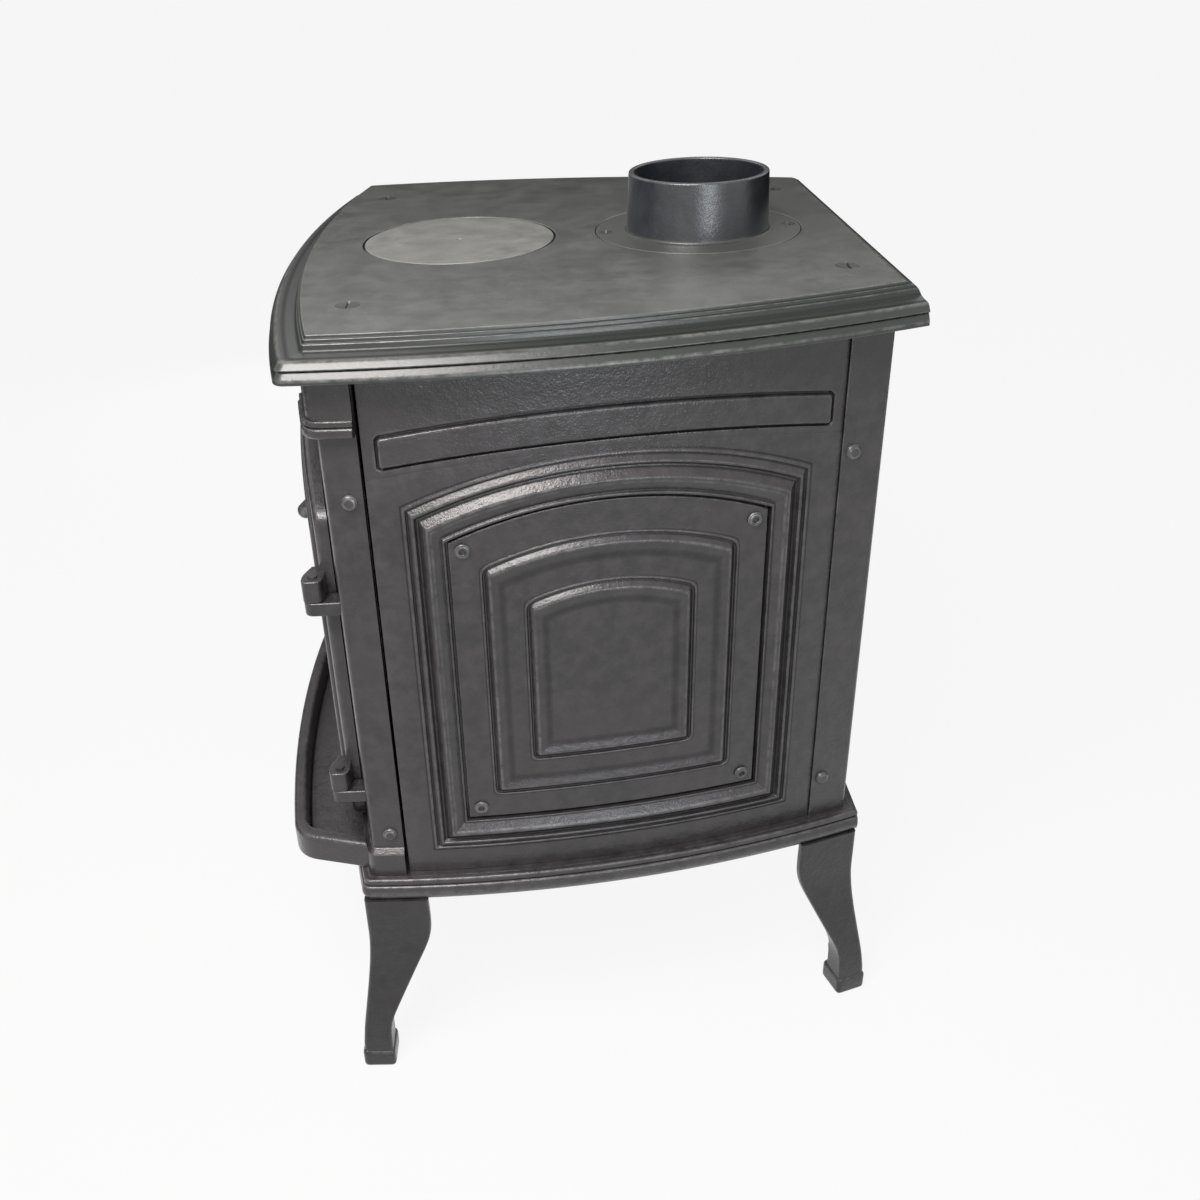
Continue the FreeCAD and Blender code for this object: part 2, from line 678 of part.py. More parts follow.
def make_flue_collar():
    bore = COLLAR_RADIUS - COLLAR_TAPER - COLLAR_WALL
    disc_z = COOK_Z - REBATE_DEPTH
    boss_radius = FLUE_DISC_RADIUS - FLUE_LEDGE
    disc = rod(FLUE_DISC_RADIUS, REBATE_DEPTH, V(0, FLUE_Y, disc_z))
    boss = rod(boss_radius, FLUE_BOSS, V(0, FLUE_Y, disc_z - FLUE_BOSS))
    spigot = Part.makeCone(COLLAR_RADIUS, COLLAR_RADIUS - COLLAR_TAPER, COLLAR_HEIGHT, V(0, FLUE_Y, COOK_Z))
    whole = fuse([disc, boss, spigot])
    foot = [e for e in whole.Edges if is_ring(e, COLLAR_RADIUS, COOK_Z)]
    whole = whole.makeFillet(COLLAR_FOOT_ROUND, foot)
    length = FLUE_BOSS + REBATE_DEPTH + COLLAR_HEIGHT + 2 * OVERRUN
    hole = rod(bore, length, V(0, FLUE_Y, disc_z - FLUE_BOSS - OVERRUN))
    whole = whole.cut(hole)
    rim = [e for e in whole.Edges if is_ring(e, COLLAR_RADIUS - COLLAR_TAPER, COOK_Z + COLLAR_HEIGHT)]
    whole = whole.makeFillet(COLLAR_RIM_ROUND, rim)
    sink = countersink(COLLAR_SCREW_HEAD_RADIUS, COLLAR_SCREW_HEAD_RADIUS - COLLAR_SCREW_RADIUS,
                       COLLAR_SCREW_RADIUS, REBATE_DEPTH + OVERRUN)
    return whole.cut([placed(sink, p, UP) for p in collar_screw_places()])


def is_ring(edge, radius, z):
    """True for a full circle of a radius at a height."""
    curve = edge.Curve
    near = radius * ROUNDING_SHARE
    right_radius = isinstance(curve, Part.Circle) and abs(curve.Radius - radius) < near
    return right_radius and abs(curve.Center.z - z) < near


def make_collar_screws():
    screw = slotted_screw(COLLAR_SCREW_HEAD_RADIUS, COLLAR_SCREW_HEAD_RADIUS - COLLAR_SCREW_RADIUS,
                          COLLAR_SCREW_RADIUS, TOP_THICKNESS)
    return group([placed(screw, p, UP) for p in collar_screw_places()])


# Base plate, legs and air slide

def leg_frames():
    """Name, corner point and turn in degrees of the two right-hand legs, before the rear one is flipped."""
    front = corner(LEG_REACH)
    front_way = SIDE.normal_at_y(front.y + LEG_WING / 2)
    rear_y = REAR_Y + BASE_REAR_REACH
    rear = V(SIDE.x_at(rear_y, LEG_REACH), rear_y, 0)
    rear_way = SIDE.normal_at_y(rear_y - LEG_WING / 2)
    turn = lambda way: math.degrees(math.atan2(way.y, way.x))
    return (("front", front, turn(front_way)), ("rear", rear, turn(rear_way)))


def leg_bolt_place(name, point, turn):
    """Where a leg's bolt goes up into the base."""
    inset = V(-LEG_BOLT_INSET, LEG_BOLT_INSET if name == "front" else -LEG_BOLT_INSET, 0)
    return point + FreeCAD.Rotation(UP, turn).multVec(inset)


def leg_silhouette(depth):
    """One face of a leg, drawn from its outer corner at the origin inwards along +X, carried along +Y."""
    rise = lambda share: share * LEG_HEIGHT
    toe_in = LEG_ANKLE - LEG_SPLAY
    bend = lambda share: toe_in + share * (LEG_WING - toe_in)
    start = -depth / 2
    at = lambda u, z: V(u, start, z)
    curve = LEG_CURVE_SHARES
    middle = at(bend((curve[1] + curve[2]) / 2), rise(LEG_CALF_SHARE))
    knee_mid = at(bend(curve[0]), rise((LEG_KNEE_SHARE * 2 + LEG_CALF_SHARE) / 3))
    calf_mid = at(bend(curve[3]), rise((LEG_ANKLE_SHARE * 2 + LEG_CALF_SHARE) / 3))
    shin_mid = at(-LEG_SPLAY * LEG_SHIN_SHARES[0], rise(LEG_SHIN_SHARES[1]))
    edges = [
        line(at(0, LEG_HEIGHT), at(LEG_WING, LEG_HEIGHT)),
        line(at(LEG_WING, LEG_HEIGHT), at(LEG_WING, rise(LEG_KNEE_SHARE))),
        arc(at(LEG_WING, rise(LEG_KNEE_SHARE)), knee_mid, middle),
        arc(middle, calf_mid, at(toe_in, rise(LEG_ANKLE_SHARE))),
        line(at(toe_in, rise(LEG_ANKLE_SHARE)), at(toe_in, TOE_HEIGHT / 2)),
        line(at(toe_in, TOE_HEIGHT / 2), at(-LEG_SPLAY, TOE_HEIGHT / 2)),
        line(at(-LEG_SPLAY, TOE_HEIGHT / 2), at(-LEG_SPLAY, TOE_HEIGHT)),
        arc(at(-LEG_SPLAY, TOE_HEIGHT), shin_mid, at(0, rise(LEG_KNEE_SHARE))),
        line(at(0, rise(LEG_KNEE_SHARE)), at(0, LEG_HEIGHT)),
    ]
    return extruded(edges, BACK * depth)


def make_leg_blank():
    """A leg in its own corner: wings along -X and +Y, hollow behind, with a solid toe and a bolting pad."""
    depth = 4 * LEG_WING
    along_y = leg_silhouette(depth)
    along_y.rotate(V(0, 0, 0), UP, 90)
    along_x = mirrored(leg_silhouette(depth))
    form = along_x.common(along_y)
    inner = form.copy()
    inner.translate(V(-LEG_WALL, LEG_WALL, 0))
    shell = form.cut(inner)
    low = -LEG_SPLAY - TOE_PROUD
    high = LEG_ANKLE - LEG_SPLAY + TOE_PROUD
    toe = block(-high, -low, low, high, 0, TOE_HEIGHT)
    toe = toe.makeFillet(TOE_ROUND, toe.Edges)
    reach = LEG_WING - LEG_WALL
    pad = block(-reach, -LEG_WALL, LEG_WALL, reach, LEG_HEIGHT - LEG_PAD, LEG_HEIGHT)
    leg = fuse([shell, toe, pad])
    hole = rod(LEG_BOLT_RADIUS, LEG_PAD + 2 * OVERRUN,
               V(-LEG_BOLT_INSET, LEG_BOLT_INSET, LEG_HEIGHT - LEG_PAD - OVERRUN))
    return leg.cut(hole)


def make_legs():
    blank = make_leg_blank()
    legs = {}
    for name, point, turn in leg_frames():
        leg = blank.copy() if name == "front" else blank.mirror(V(0, 0, 0), BACK)
        leg.rotate(V(0, 0, 0), UP, turn)
        leg.translate(point)
        legs[f"leg_{name}_right"] = leg
        legs[f"leg_{name}_left"] = mirrored(leg)
    return legs


def make_leg_bolts():
    bolts = []
    for frame in leg_frames():
        place = leg_bolt_place(*frame)
        for spot in (place, V(-place.x, place.y, 0)):
            head_z = LEG_HEIGHT - LEG_PAD - NUT_HEIGHT
            head = hexagon(NUT_ACROSS_FLATS, NUT_HEIGHT, spot + UP * head_z)
            length = NUT_HEIGHT + LEG_PAD + BASE_THICKNESS - BASE_FLOOR
            shank = rod(LEG_BOLT_RADIUS, length, spot + UP * head_z)
            bolts.append(fuse([head, shank]))
    return group(bolts)


def slide_plate_z():
    """Top of the air slide, just under the base's floor."""
    return FLOOR_Z - BASE_FLOOR - SLIDE_FIT


def air_slot_cuts():
    """The row of air slots in the base, which the slide's own slots meet when it is pulled out."""
    start = -(AIR_SLOTS - 1) / 2
    spots = [(start + i) * AIR_SLOT_PITCH for i in range(AIR_SLOTS)]
    half = AIR_SLOT_WIDTH / 2
    y0 = SLIDE_Y + SLIDE_MARGIN
    y1 = y0 + AIR_SLOT_LENGTH
    return [block(x - half, x + half, y0, y1, BASE_Z - OVERRUN, FLOOR_Z + OVERRUN) for x in spots]


def pull_rod_z():
    """Height of the pull rod, under the middle of the slide plate."""
    return slide_plate_z() - SLIDE_THICKNESS - PULL_ROD_RADIUS + SLIDE_THICKNESS / 2


def make_base_plate():
    rear_y = REAR_Y + BASE_REAR_REACH
    plate = moulded_plate(BASE_EDGE_REACH, BASE_THICKNESS, BASE_EDGE_SHARES, FLOOR_Z, rear_y, BASE_REAR_ROUND,
                          BASE_CORNER_ROUNDS)
    hollow = plan_prism(BASE_EDGE_REACH - BASE_RIM, BASE_Z - OVERRUN, FLOOR_Z - BASE_FLOOR, REAR_Y - BASE_RIM)
    posts = []
    cuts = []
    for frame in leg_frames():
        place = leg_bolt_place(*frame)
        for spot in (place, V(-place.x, place.y, 0)):
            posts.append(rod(LEG_BOSS_RADIUS, BASE_THICKNESS, spot + UP * BASE_Z))
            cuts.append(rod(LEG_BOLT_RADIUS, BASE_THICKNESS - BASE_FLOOR, spot + UP * BASE_Z))
    for place in tie_places():
        posts.append(rod(NUT_ACROSS_FLATS, BASE_THICKNESS, place + UP * BASE_Z))
        cuts.append(rod(TIE_RADIUS + HOLE_FIT, BASE_THICKNESS + 2 * OVERRUN, place + UP * (BASE_Z - OVERRUN)))
    rails = []
    for side in (1, -1):
        x = side * PAN_RAIL_X
        half = PAN_RAIL_WIDTH / 2
        rails.append(block(x - half, x + half, -PAN_RAIL_LENGTH / 2, PAN_RAIL_LENGTH / 2,
                           FLOOR_Z - BASE_FLOOR, PAN_Z))
    cuts.append(rod(PULL_ROD_RADIUS + RUN_FIT, BODY_DEPTH, V(0, SLIDE_Y, pull_rod_z()), FORWARD))
    return fuse([plate.cut(hollow.cut(posts))] + rails).cut(cuts + air_slot_cuts())


def make_air_slide():
    top = slide_plate_z()
    half = SLIDE_WIDTH / 2
    plate = block(-half, half, SLIDE_Y, SLIDE_Y + SLIDE_LENGTH, top - SLIDE_THICKNESS, top)
    slots = []
    for cut in air_slot_cuts():
        cut.translate(BACK * SLIDE_TRAVEL)
        slots.append(cut)
    return plate.cut(slots)


def make_air_knob():
    front_y = FRONT.y_at(0, BASE_EDGE_REACH) - PULL_REACH
    z = pull_rod_z()
    bar = rod(PULL_ROD_RADIUS, SLIDE_Y - front_y, V(0, front_y, z), BACK)
    knob = rod(PULL_KNOB_RADIUS, PULL_KNOB_LENGTH, V(0, front_y, z), FORWARD)
    return fuse([bar, knob])


def make_slide_guides():
    guides = []
    top = FLOOR_Z - BASE_FLOOR
    low = top - SLIDE_THICKNESS - 2 * SLIDE_FIT - GUIDE_LIP_THICKNESS
    for side in (1, -1):
        inner = SLIDE_WIDTH / 2 + SLIDE_FIT
        y0 = SLIDE_Y - SLIDE_TRAVEL / 2
        y1 = SLIDE_Y + SLIDE_LENGTH
        web = block(inner, inner + GUIDE_WIDTH, y0, y1, low, top)
        lip = block(inner - GUIDE_LIP, inner, y0, y1, low, low + GUIDE_LIP_THICKNESS)
        guide = fuse([web, lip])
        guides.append(guide if side > 0 else mirrored(guide))
    return group(guides)


# Body castings

def door_arch(inset_side, inset_bottom, inset_top, rise, front_y, back_y):
    """The door's arched outline, shrunk at its sides, bottom and shoulders, driven from front to back."""
    z0 = DOOR_Z + inset_bottom
    z1 = DOOR_Z + DOOR_HEIGHT - inset_top
    return arch(DOOR_HALF - inset_side, z0, z1, rise, V(0, front_y, 0), RIGHT, BACK * (back_y - front_y))


def opening_arch(grow):
    """The firebox opening's outline, grown outward by grow."""
    return door_arch(DOOR_LAP_SIDE - grow, DOOR_LAP_BOTTOM - grow, DOOR_LAP_TOP - grow,
                     DOOR_RISE * OPENING_RISE_SHARE, FRONT_Y - FRONT_BOW - BODY_DEPTH, 0)


def window_arch(grow, front_y, back_y):
    """The window's outline, grown outward by grow."""
    return door_arch(WINDOW_STILE - grow, WINDOW_RAIL - grow, WINDOW_HEAD - grow, WINDOW_RISE,
                     front_y, back_y)


def flange_bolt_places():
    """Depth, height and outward move of the flange bolts on the right side."""
    front_y = FLANGE_END_Y - FLANGE_BOLT_INSET
    rear_y = PANEL_REAR_Y + REAR_BOLT_INSET
    heights = (SKIRT_Z - UPPER_BOLT_DROP, FLOOR_Z + LOWER_BOLT_RISE)
    return [(front_y, z, 0.0) for z in heights] + [(rear_y, z, REAR_STRIP_PROUD) for z in heights]


def on_side(y, z, grow):
    """A point on the right side, moved outward by grow, and the outward direction there."""
    way = SIDE.normal_at_y(y)
    return V(SIDE.x_at(y), y, z) + way * grow, way


def flange_bolt_holes():
    """Clearance for the flange bolts on the right side."""
    holes = []
    for y, z, grow in flange_bolt_places():
        spot, way = on_side(y, z, grow)
        holes.append(rod(FLANGE_BOLT_RADIUS, 3 * WALL, spot - way * (3 * WALL), way))
    return holes


def make_flange_bolts():
    bolts = []
    for y, z, grow in flange_bolt_places():
        spot, way = on_side(y, z, grow)
        length = WALL + grow + LAP_WALL
        bolt = button_bolt(FLANGE_BOLT_HEAD_RADIUS, FLANGE_BOLT_HEAD, FLANGE_BOLT_RADIUS, length)
        bolt = placed(bolt, spot, way)
        bolts += [bolt, mirrored(bolt)]
    return group(bolts)


def hinge_axis():
    """Foot of the door's hinge axis on the floor plane."""
    x = FRONT_WIDTH / 2 - HINGE_INSET
    return V(x, FRONT.y_at(x) - HINGE_REACH, 0)


def lug_heights():
    """Undersides of the two hinge lugs."""
    low = DOOR_Z + LOWER_LUG_RISE
    return (low, low + HINGE_SPACING)


def lip_bolt_places():
    """Points on the plinth's inner face where the ash lip's bolts go in."""
    z = FLOOR_Z + LIP_BOLT_RISE
    return [V(s * LIP_BOLT_X, FRONT.y_at(LIP_BOLT_X, -WALL), z) for s in (1, -1)]


def flange_band(grow, z0, z1):
    """A band round the front and its returns, from the inner wall face out to grow."""
    band = plan_prism(grow, z0, z1).cut(plan_prism(-WALL, z0 - OVERRUN, z1 + OVERRUN))
    return band.common(block(-FRONT_WIDTH, FRONT_WIDTH, -BODY_DEPTH, FLANGE_END_Y, z0, z1))


def outer_rims(shape, z):
    """The long edges of a band at a height, outside the wall."""
    found = []
    for edge in shape.Edges:
        box = edge.BoundBox
        mid = edge.valueAt((edge.FirstParameter + edge.LastParameter) / 2)
        reach = math.hypot(mid.x - FRONT.centre.x, mid.y - FRONT.centre.y)
        side = math.hypot(abs(mid.x) - SIDE.centre.x, mid.y - SIDE.centre.y)
        flat = box.ZLength < OVERRUN / 2 and abs(mid.z - z) < OVERRUN / 2
        if flat and (reach > FRONT.radius + OVERRUN / 2 or side > SIDE.radius + OVERRUN / 2):
            if box.XLength + box.YLength > COLUMN_RETURN / 2:
                found.append(edge)
    return found


def make_front_frame():
    wall = flange_band(0, FLOOR_Z, ROOF_Z)
    cornice_z = SKIRT_Z - CORNICE_HEIGHT
    cornice = flange_band(CORNICE_REACH, cornice_z, SKIRT_Z)
    bead = flange_band(CORNICE_BEAD_REACH, cornice_z - CORNICE_BEAD_HEIGHT, cornice_z)
    bead = bead.makeFillet(CORNICE_BEAD_ROUND, outer_rims(bead, cornice_z))
    bead = bead.makeFillet(CORNICE_BEAD_ROUND, outer_rims(bead, cornice_z - CORNICE_BEAD_HEIGHT))
    plinth = flange_band(PLINTH_REACH, FLOOR_Z, FLOOR_Z + PLINTH_HEIGHT)
    plinth = plinth.makeChamfer(PLINTH_SLOPE, outer_rims(plinth, FLOOR_Z + PLINTH_HEIGHT))
    axis = hinge_axis()
    lugs = []
    holes = []
    for z in lug_heights():
        neck = block(axis.x - LUG_RADIUS, axis.x + LUG_RADIUS, axis.y, axis.y + HINGE_REACH + WALL,
                     z, z + LUG_THICKNESS)
        lugs.append(fuse([neck, rod(LUG_RADIUS, LUG_THICKNESS, axis + UP * z)]))
        holes.append(rod(PIN_RADIUS, LUG_THICKNESS, axis + UP * z))
    frame = fuse([wall, cornice, bead, plinth] + lugs)
    holes += flange_bolt_holes()
    holes += [mirrored(h) for h in flange_bolt_holes()]
    for place in lip_bolt_places():
        holes.append(rod(LIP_BOLT_RADIUS, 2 * WALL, place, FORWARD))
        holes.append(rod(2 * LIP_BOLT_RADIUS + HOLE_FIT, WALL, place, BACK))
    return frame.cut(holes + [opening_arch(0)])


def make_hinge_pins():
    axis = hinge_axis()
    length = LUG_THICKNESS + SLIDE_FIT + KNUCKLE_HEIGHT + PIN_HEAD
    return group([rod(PIN_RADIUS, length, axis + UP * z) for z in lug_heights()])


def make_side_panel():
    panel = side_shell(-WALL, 0, PANEL_FRONT_Y, PANEL_REAR_Y, FLOOR_Z, ROOF_Z)
    lap_in = -WALL - LAP_WALL
    front_lap = side_shell(lap_in, -WALL, FLANGE_END_Y - LAP_LENGTH, PANEL_FRONT_Y + LAP_LENGTH,
                           FLOOR_Z, ROOF_Z)
    rear_lap = side_shell(lap_in, -WALL, PANEL_REAR_Y - LAP_LENGTH, PANEL_REAR_Y + LAP_LENGTH,
                          FLOOR_Z, ROOF_Z)
    ledge = side_shell(-COVER_SEAT - LEDGE_WALL, -COVER_SEAT, PANEL_FRONT_Y, PANEL_REAR_Y, FLOOR_Z, ROOF_Z)
    ledge = ledge.common(side_arch(-COVER_GAP - LEDGE_LAND))
    bearer = side_shell(-WALL - LEDGE_WALL - BEARER_DEPTH, -WALL, RELIEF_Y - BEARER_LENGTH / 2,
                        RELIEF_Y + BEARER_LENGTH / 2, BEARER_Z, BED_Z)
    half = (PANEL_REAR_Y - PANEL_FRONT_Y) / 2 - STRIP_INSET
    middle = V(0, RELIEF_Y, 0)
    through = RIGHT * FRONT_WIDTH
    outer = arch(half, STRIP_Z, STRIP_Z + STRIP_HEIGHT, STRIP_ARCH, middle, BACK, through)
    under = arch(half, STRIP_Z - STRIP_HEIGHT, STRIP_Z, STRIP_ARCH, middle, BACK, through)
    strip = side_shell(-FRAME_ROOT, STRIP_PROUD, PANEL_FRONT_Y, PANEL_REAR_Y, FLOOR_Z, ROOF_Z)
    strip = strip.common(outer.cut(under))
    bead = side_frame(-COVER_GAP - FRAME_BEAD_SET - FRAME_BEAD_WIDTH, FRAME_BEAD_WIDTH, FRAME_BEAD_PROUD)
    ridge = side_frame(-COVER_GAP - FRAME_RIDGE_SET - FRAME_RIDGE_WIDTH, FRAME_RIDGE_WIDTH, FRAME_RIDGE_PROUD)
    recess = side_arch(-COVER_GAP).common(
        side_shell(-COVER_SEAT, FRAME_BEAD_PROUD + OVERRUN, PANEL_FRONT_Y, PANEL_REAR_Y, FLOOR_Z, ROOF_Z))
    body = fuse([panel.cut(recess), ledge, front_lap, rear_lap, strip, bead, ridge])
    body = body.cut(side_arch(COVER_LEDGE))
    return fuse([body, bearer]).cut(flange_bolt_holes() + cover_bolt_holes())


def make_side_cover():
    seat = -COVER_SEAT + COVER_THICKNESS
    shell = side_shell(-COVER_SEAT, seat, PANEL_FRONT_Y, PANEL_REAR_Y, FLOOR_Z, ROOF_Z)
    plate = shell.common(side_arch(0))
    frames = [side_frame(inset, COVER_FRAME_WIDTH, COVER_FRAME_PROUD, seat) for inset in COVER_FRAME_INSETS]
    return fuse([plate] + frames).cut(cover_bolt_holes())


def cover_bolt_places():
    """Depth and height of the four bolts in a cover plate."""
    half = COVER_WIDTH / 2 - COVER_BOLT_INSET
    z0 = COVER_Z + COVER_BOLT_INSET
    z1 = COVER_Z + COVER_HEIGHT - COVER_BOLT_DROP
    return [(RELIEF_Y + s * half, z) for z in (z0, z1) for s in (-1, 1)]


def cover_bolt_holes():
    """Holes for the cover bolts on the right side."""
    holes = []
    for y, z in cover_bolt_places():
        spot, way = on_side(y, z, 0.0)
        holes.append(rod(COVER_BOLT_RADIUS, 3 * WALL, spot - way * (3 * WALL), way))
    return holes


def make_cover_bolts():
    bolts = []
    length = COVER_THICKNESS + LEDGE_WALL
    bolt = button_bolt(COVER_BOLT_HEAD_RADIUS, COVER_BOLT_HEAD, COVER_BOLT_RADIUS, length)
    for y, z in cover_bolt_places():
        spot, way = on_side(y, z, -COVER_SEAT + COVER_THICKNESS)
        placed_bolt = placed(bolt, spot, way)
        bolts += [placed_bolt, mirrored(placed_bolt)]
    return group(bolts)


def make_rear_panel():
    ring = plan_prism(REAR_STRIP_PROUD, FLOOR_Z, ROOF_Z).cut(
        plan_prism(-WALL, FLOOR_Z - OVERRUN, ROOF_Z + OVERRUN, REAR_Y - WALL))
    panel = ring.common(block(-FRONT_WIDTH, FRONT_WIDTH, PANEL_REAR_Y, BODY_DEPTH, FLOOR_Z, ROOF_Z))
    half = REAR_WIDTH / 2 - REAR_RIB_INSET
    z0 = FLOOR_Z + REAR_RIB_INSET
    z1 = ROOF_Z - REAR_RIB_INSET - TOP_EDGE_HEIGHT
    outer = block(-half, half, REAR_Y, REAR_Y + REAR_RIB_PROUD, z0, z1)
    inset = REAR_RIB_WIDTH
    inner = block(-half + inset, half - inset, REAR_Y - OVERRUN, REAR_Y + REAR_RIB_PROUD + OVERRUN,
                  z0 + inset, z1 - inset)
    holes = flange_bolt_holes()
    return fuse([panel, outer.cut(inner)]).cut(holes + [mirrored(h) for h in holes])


# Door, glass and seals

def glass_plane():
    """Y of the flat seat in the door that the glass gasket lies against."""
    return ring_plane() - GASKET_THICKNESS - GLASS_THICKNESS


def ring_plane():
    """Y of the flat seat in the door's back that the retaining ring lies against."""
    return FRONT.y_at(0, DOOR_GAP) - RING_SEAT


def make_door():
    bulk = bowed_slab(FRONT, DOOR_GAP, DOOR_FRONT, 0.0, DOOR_HALF, DOOR_Z, DOOR_Z + DOOR_HEIGHT + DOOR_RISE)
    front_y = FRONT_Y - BODY_DEPTH
    slab = bulk.common(door_arch(0, 0, 0, DOOR_RISE, front_y, 0))
    slab = slab.makeFillet(DOOR_CORNER_ROUND, [e for e in slab.Edges if runs_through(e)])
    face = [e for e in slab.Edges if on_door_front(e)]
    slab = slab.makeFillet(DOOR_ROUND, face)
    layer = bowed_slab(DOOR_FRONT, 0.0, DOOR_FRONT, DOOR_BEAD_PROUD, DOOR_HALF, DOOR_Z, ROOF_Z)
    window_outer = window_arch(WINDOW_BEAD_SET + DOOR_BEAD_WIDTH, front_y, 0)
    window_bead = layer.common(window_outer.cut(window_arch(WINDOW_BEAD_SET, front_y, 0)))
    inset = DOOR_BEAD_SET + DOOR_BEAD_WIDTH
    rim_outer = door_arch(DOOR_BEAD_SET, DOOR_BEAD_SET, DOOR_BEAD_SET, DOOR_RISE, front_y, 0)
    rim_bead = layer.common(rim_outer.cut(door_arch(inset, inset, inset, DOOR_RISE, front_y, 0)))
    axis = hinge_axis()
    knuckles = []
    bores = []
    for z in lug_heights():
        foot = z + LUG_THICKNESS + SLIDE_FIT
        arm = block(DOOR_HALF - LUG_RADIUS, axis.x, DOOR_EDGE_Y + SLIDE_FIT, axis.y + LUG_RADIUS,
                    foot, foot + KNUCKLE_HEIGHT)
        knuckles.append(fuse([arm, rod(LUG_RADIUS, KNUCKLE_HEIGHT, axis + UP * foot)]))
        bores.append(rod(PIN_RADIUS + RUN_FIT, KNUCKLE_HEIGHT, axis + UP * foot))
    spindle = spindle_axis()
    boss = rod(HANDLE_BOSS_RADIUS, WALL + HANDLE_BOSS_PROUD, V(spindle.x, boss_face_y(), spindle.z), BACK)
    bores.append(rod(SPINDLE_RADIUS + RUN_FIT, BODY_DEPTH, V(spindle.x, front_y, spindle.z), BACK))
    pocket = window_arch(GLASS_LAP + GLASS_GAP, glass_plane(), 0)
    ring_pocket = window_arch(RING_LAP + GLASS_GAP, ring_plane(), 0)
    groove = rope_ring(DOOR_GAP - OVERRUN, DOOR_GAP + ROPE_DEPTH)
    screws = [rod(RING_SCREW_RADIUS, RING_SCREW_DEPTH + OVERRUN, p + BACK * OVERRUN, FORWARD)
              for p in ring_screw_places()]
    door = fuse([slab, boss, window_bead, rim_bead] + knuckles)
    return door.cut(bores + [window_arch(0, front_y, 0), pocket, ring_pocket, groove] + screws)


def runs_through(edge):
    """True for an edge at a corner of the door's outline, which runs from its front to its back."""
    box = edge.BoundBox
    return box.YLength > box.XLength + box.ZLength + DOOR_EDGE / 2


def on_door_front(edge):
    """True for an edge of the door's crowned front face."""
    mid = edge.valueAt((edge.FirstParameter + edge.LastParameter) / 2)
    ends = [edge.valueAt(edge.FirstParameter), edge.valueAt(edge.LastParameter), mid]
    reach = [math.hypot(p.x - DOOR_FRONT.centre.x, p.y - DOOR_FRONT.centre.y) for p in ends]
    return all(abs(r - DOOR_FRONT.radius) < DOOR_FRONT.radius * ROUNDING_SHARE for r in reach)


def rope_ring(grow_in, grow_out):
    """The rope seal's path round the firebox opening, between two outward moves of the front."""
    layer = bowed_slab(FRONT, grow_in, FRONT, grow_out, DOOR_HALF, DOOR_Z, ROOF_Z)
    return layer.common(opening_arch(ROPE_SET + ROPE_WIDTH).cut(opening_arch(ROPE_SET)))


def make_glass():
    y = glass_plane() + GASKET_THICKNESS
    return window_arch(GLASS_LAP, y, y + GLASS_THICKNESS)


def make_gasket():
    y = glass_plane()
    outer = window_arch(GLASS_LAP, y, y + GASKET_THICKNESS)
    return outer.cut(window_arch(GLASS_LAP - GASKET_WIDTH, y - OVERRUN, y + OVERRUN))


def make_glass_ring():
    y = ring_plane()
    ring = window_arch(RING_LAP, y, y + RING_THICKNESS).cut(window_arch(0, y - OVERRUN, y + OVERRUN))
    holes = [rod(RING_SCREW_RADIUS, 2 * OVERRUN, p + BACK * OVERRUN, FORWARD) for p in ring_screw_places()]
    return ring.cut(holes)


def ring_screw_places():
    """Points on the back of the retaining ring where its screws sit."""
    y = ring_plane() + RING_THICKNESS
    u = DOOR_HALF - WINDOW_STILE + (GLASS_LAP + RING_LAP) / 2
    z0 = DOOR_Z + WINDOW_RAIL - (GLASS_LAP + RING_LAP) / 2
    z1 = DOOR_Z + DOOR_HEIGHT - WINDOW_HEAD
    return [V(s * u, y, z) for z in (z0 + RING_LAP, (z0 + z1) / 2, z1 - RING_LAP) for s in (1, -1)]


def make_ring_screws():
    screws = []
    for place in ring_screw_places():
        head = rod(RING_SCREW_HEAD_RADIUS, RING_SCREW_HEAD, place, BACK)
        screws.append(fuse([head, rod(RING_SCREW_RADIUS, RING_SCREW_DEPTH, place, FORWARD)]))
    return group(screws)


# Handle

def spindle_axis():
    """A point on the spindle's axis, which runs along Y."""
    return V(-DOOR_HALF + SPINDLE_INSET, 0, DOOR_Z + SPINDLE_RISE)


def boss_face_y():
    """Front of the flat boss on the door that the handle's hub turns against."""
    edge_y = DOOR_FRONT.y_at(DOOR_HALF - SPINDLE_INSET + HANDLE_BOSS_RADIUS)
    return edge_y - HANDLE_BOSS_PROUD - HANDLE_BOSS_RADIUS / 2


def tongue_front_y():
    """Front of the latch tongue, just behind the front frame's wall where it reaches furthest."""
    return FRONT.y_at(DOOR_HALF - SPINDLE_INSET + TONGUE_LENGTH, -WALL) + SLIDE_FIT


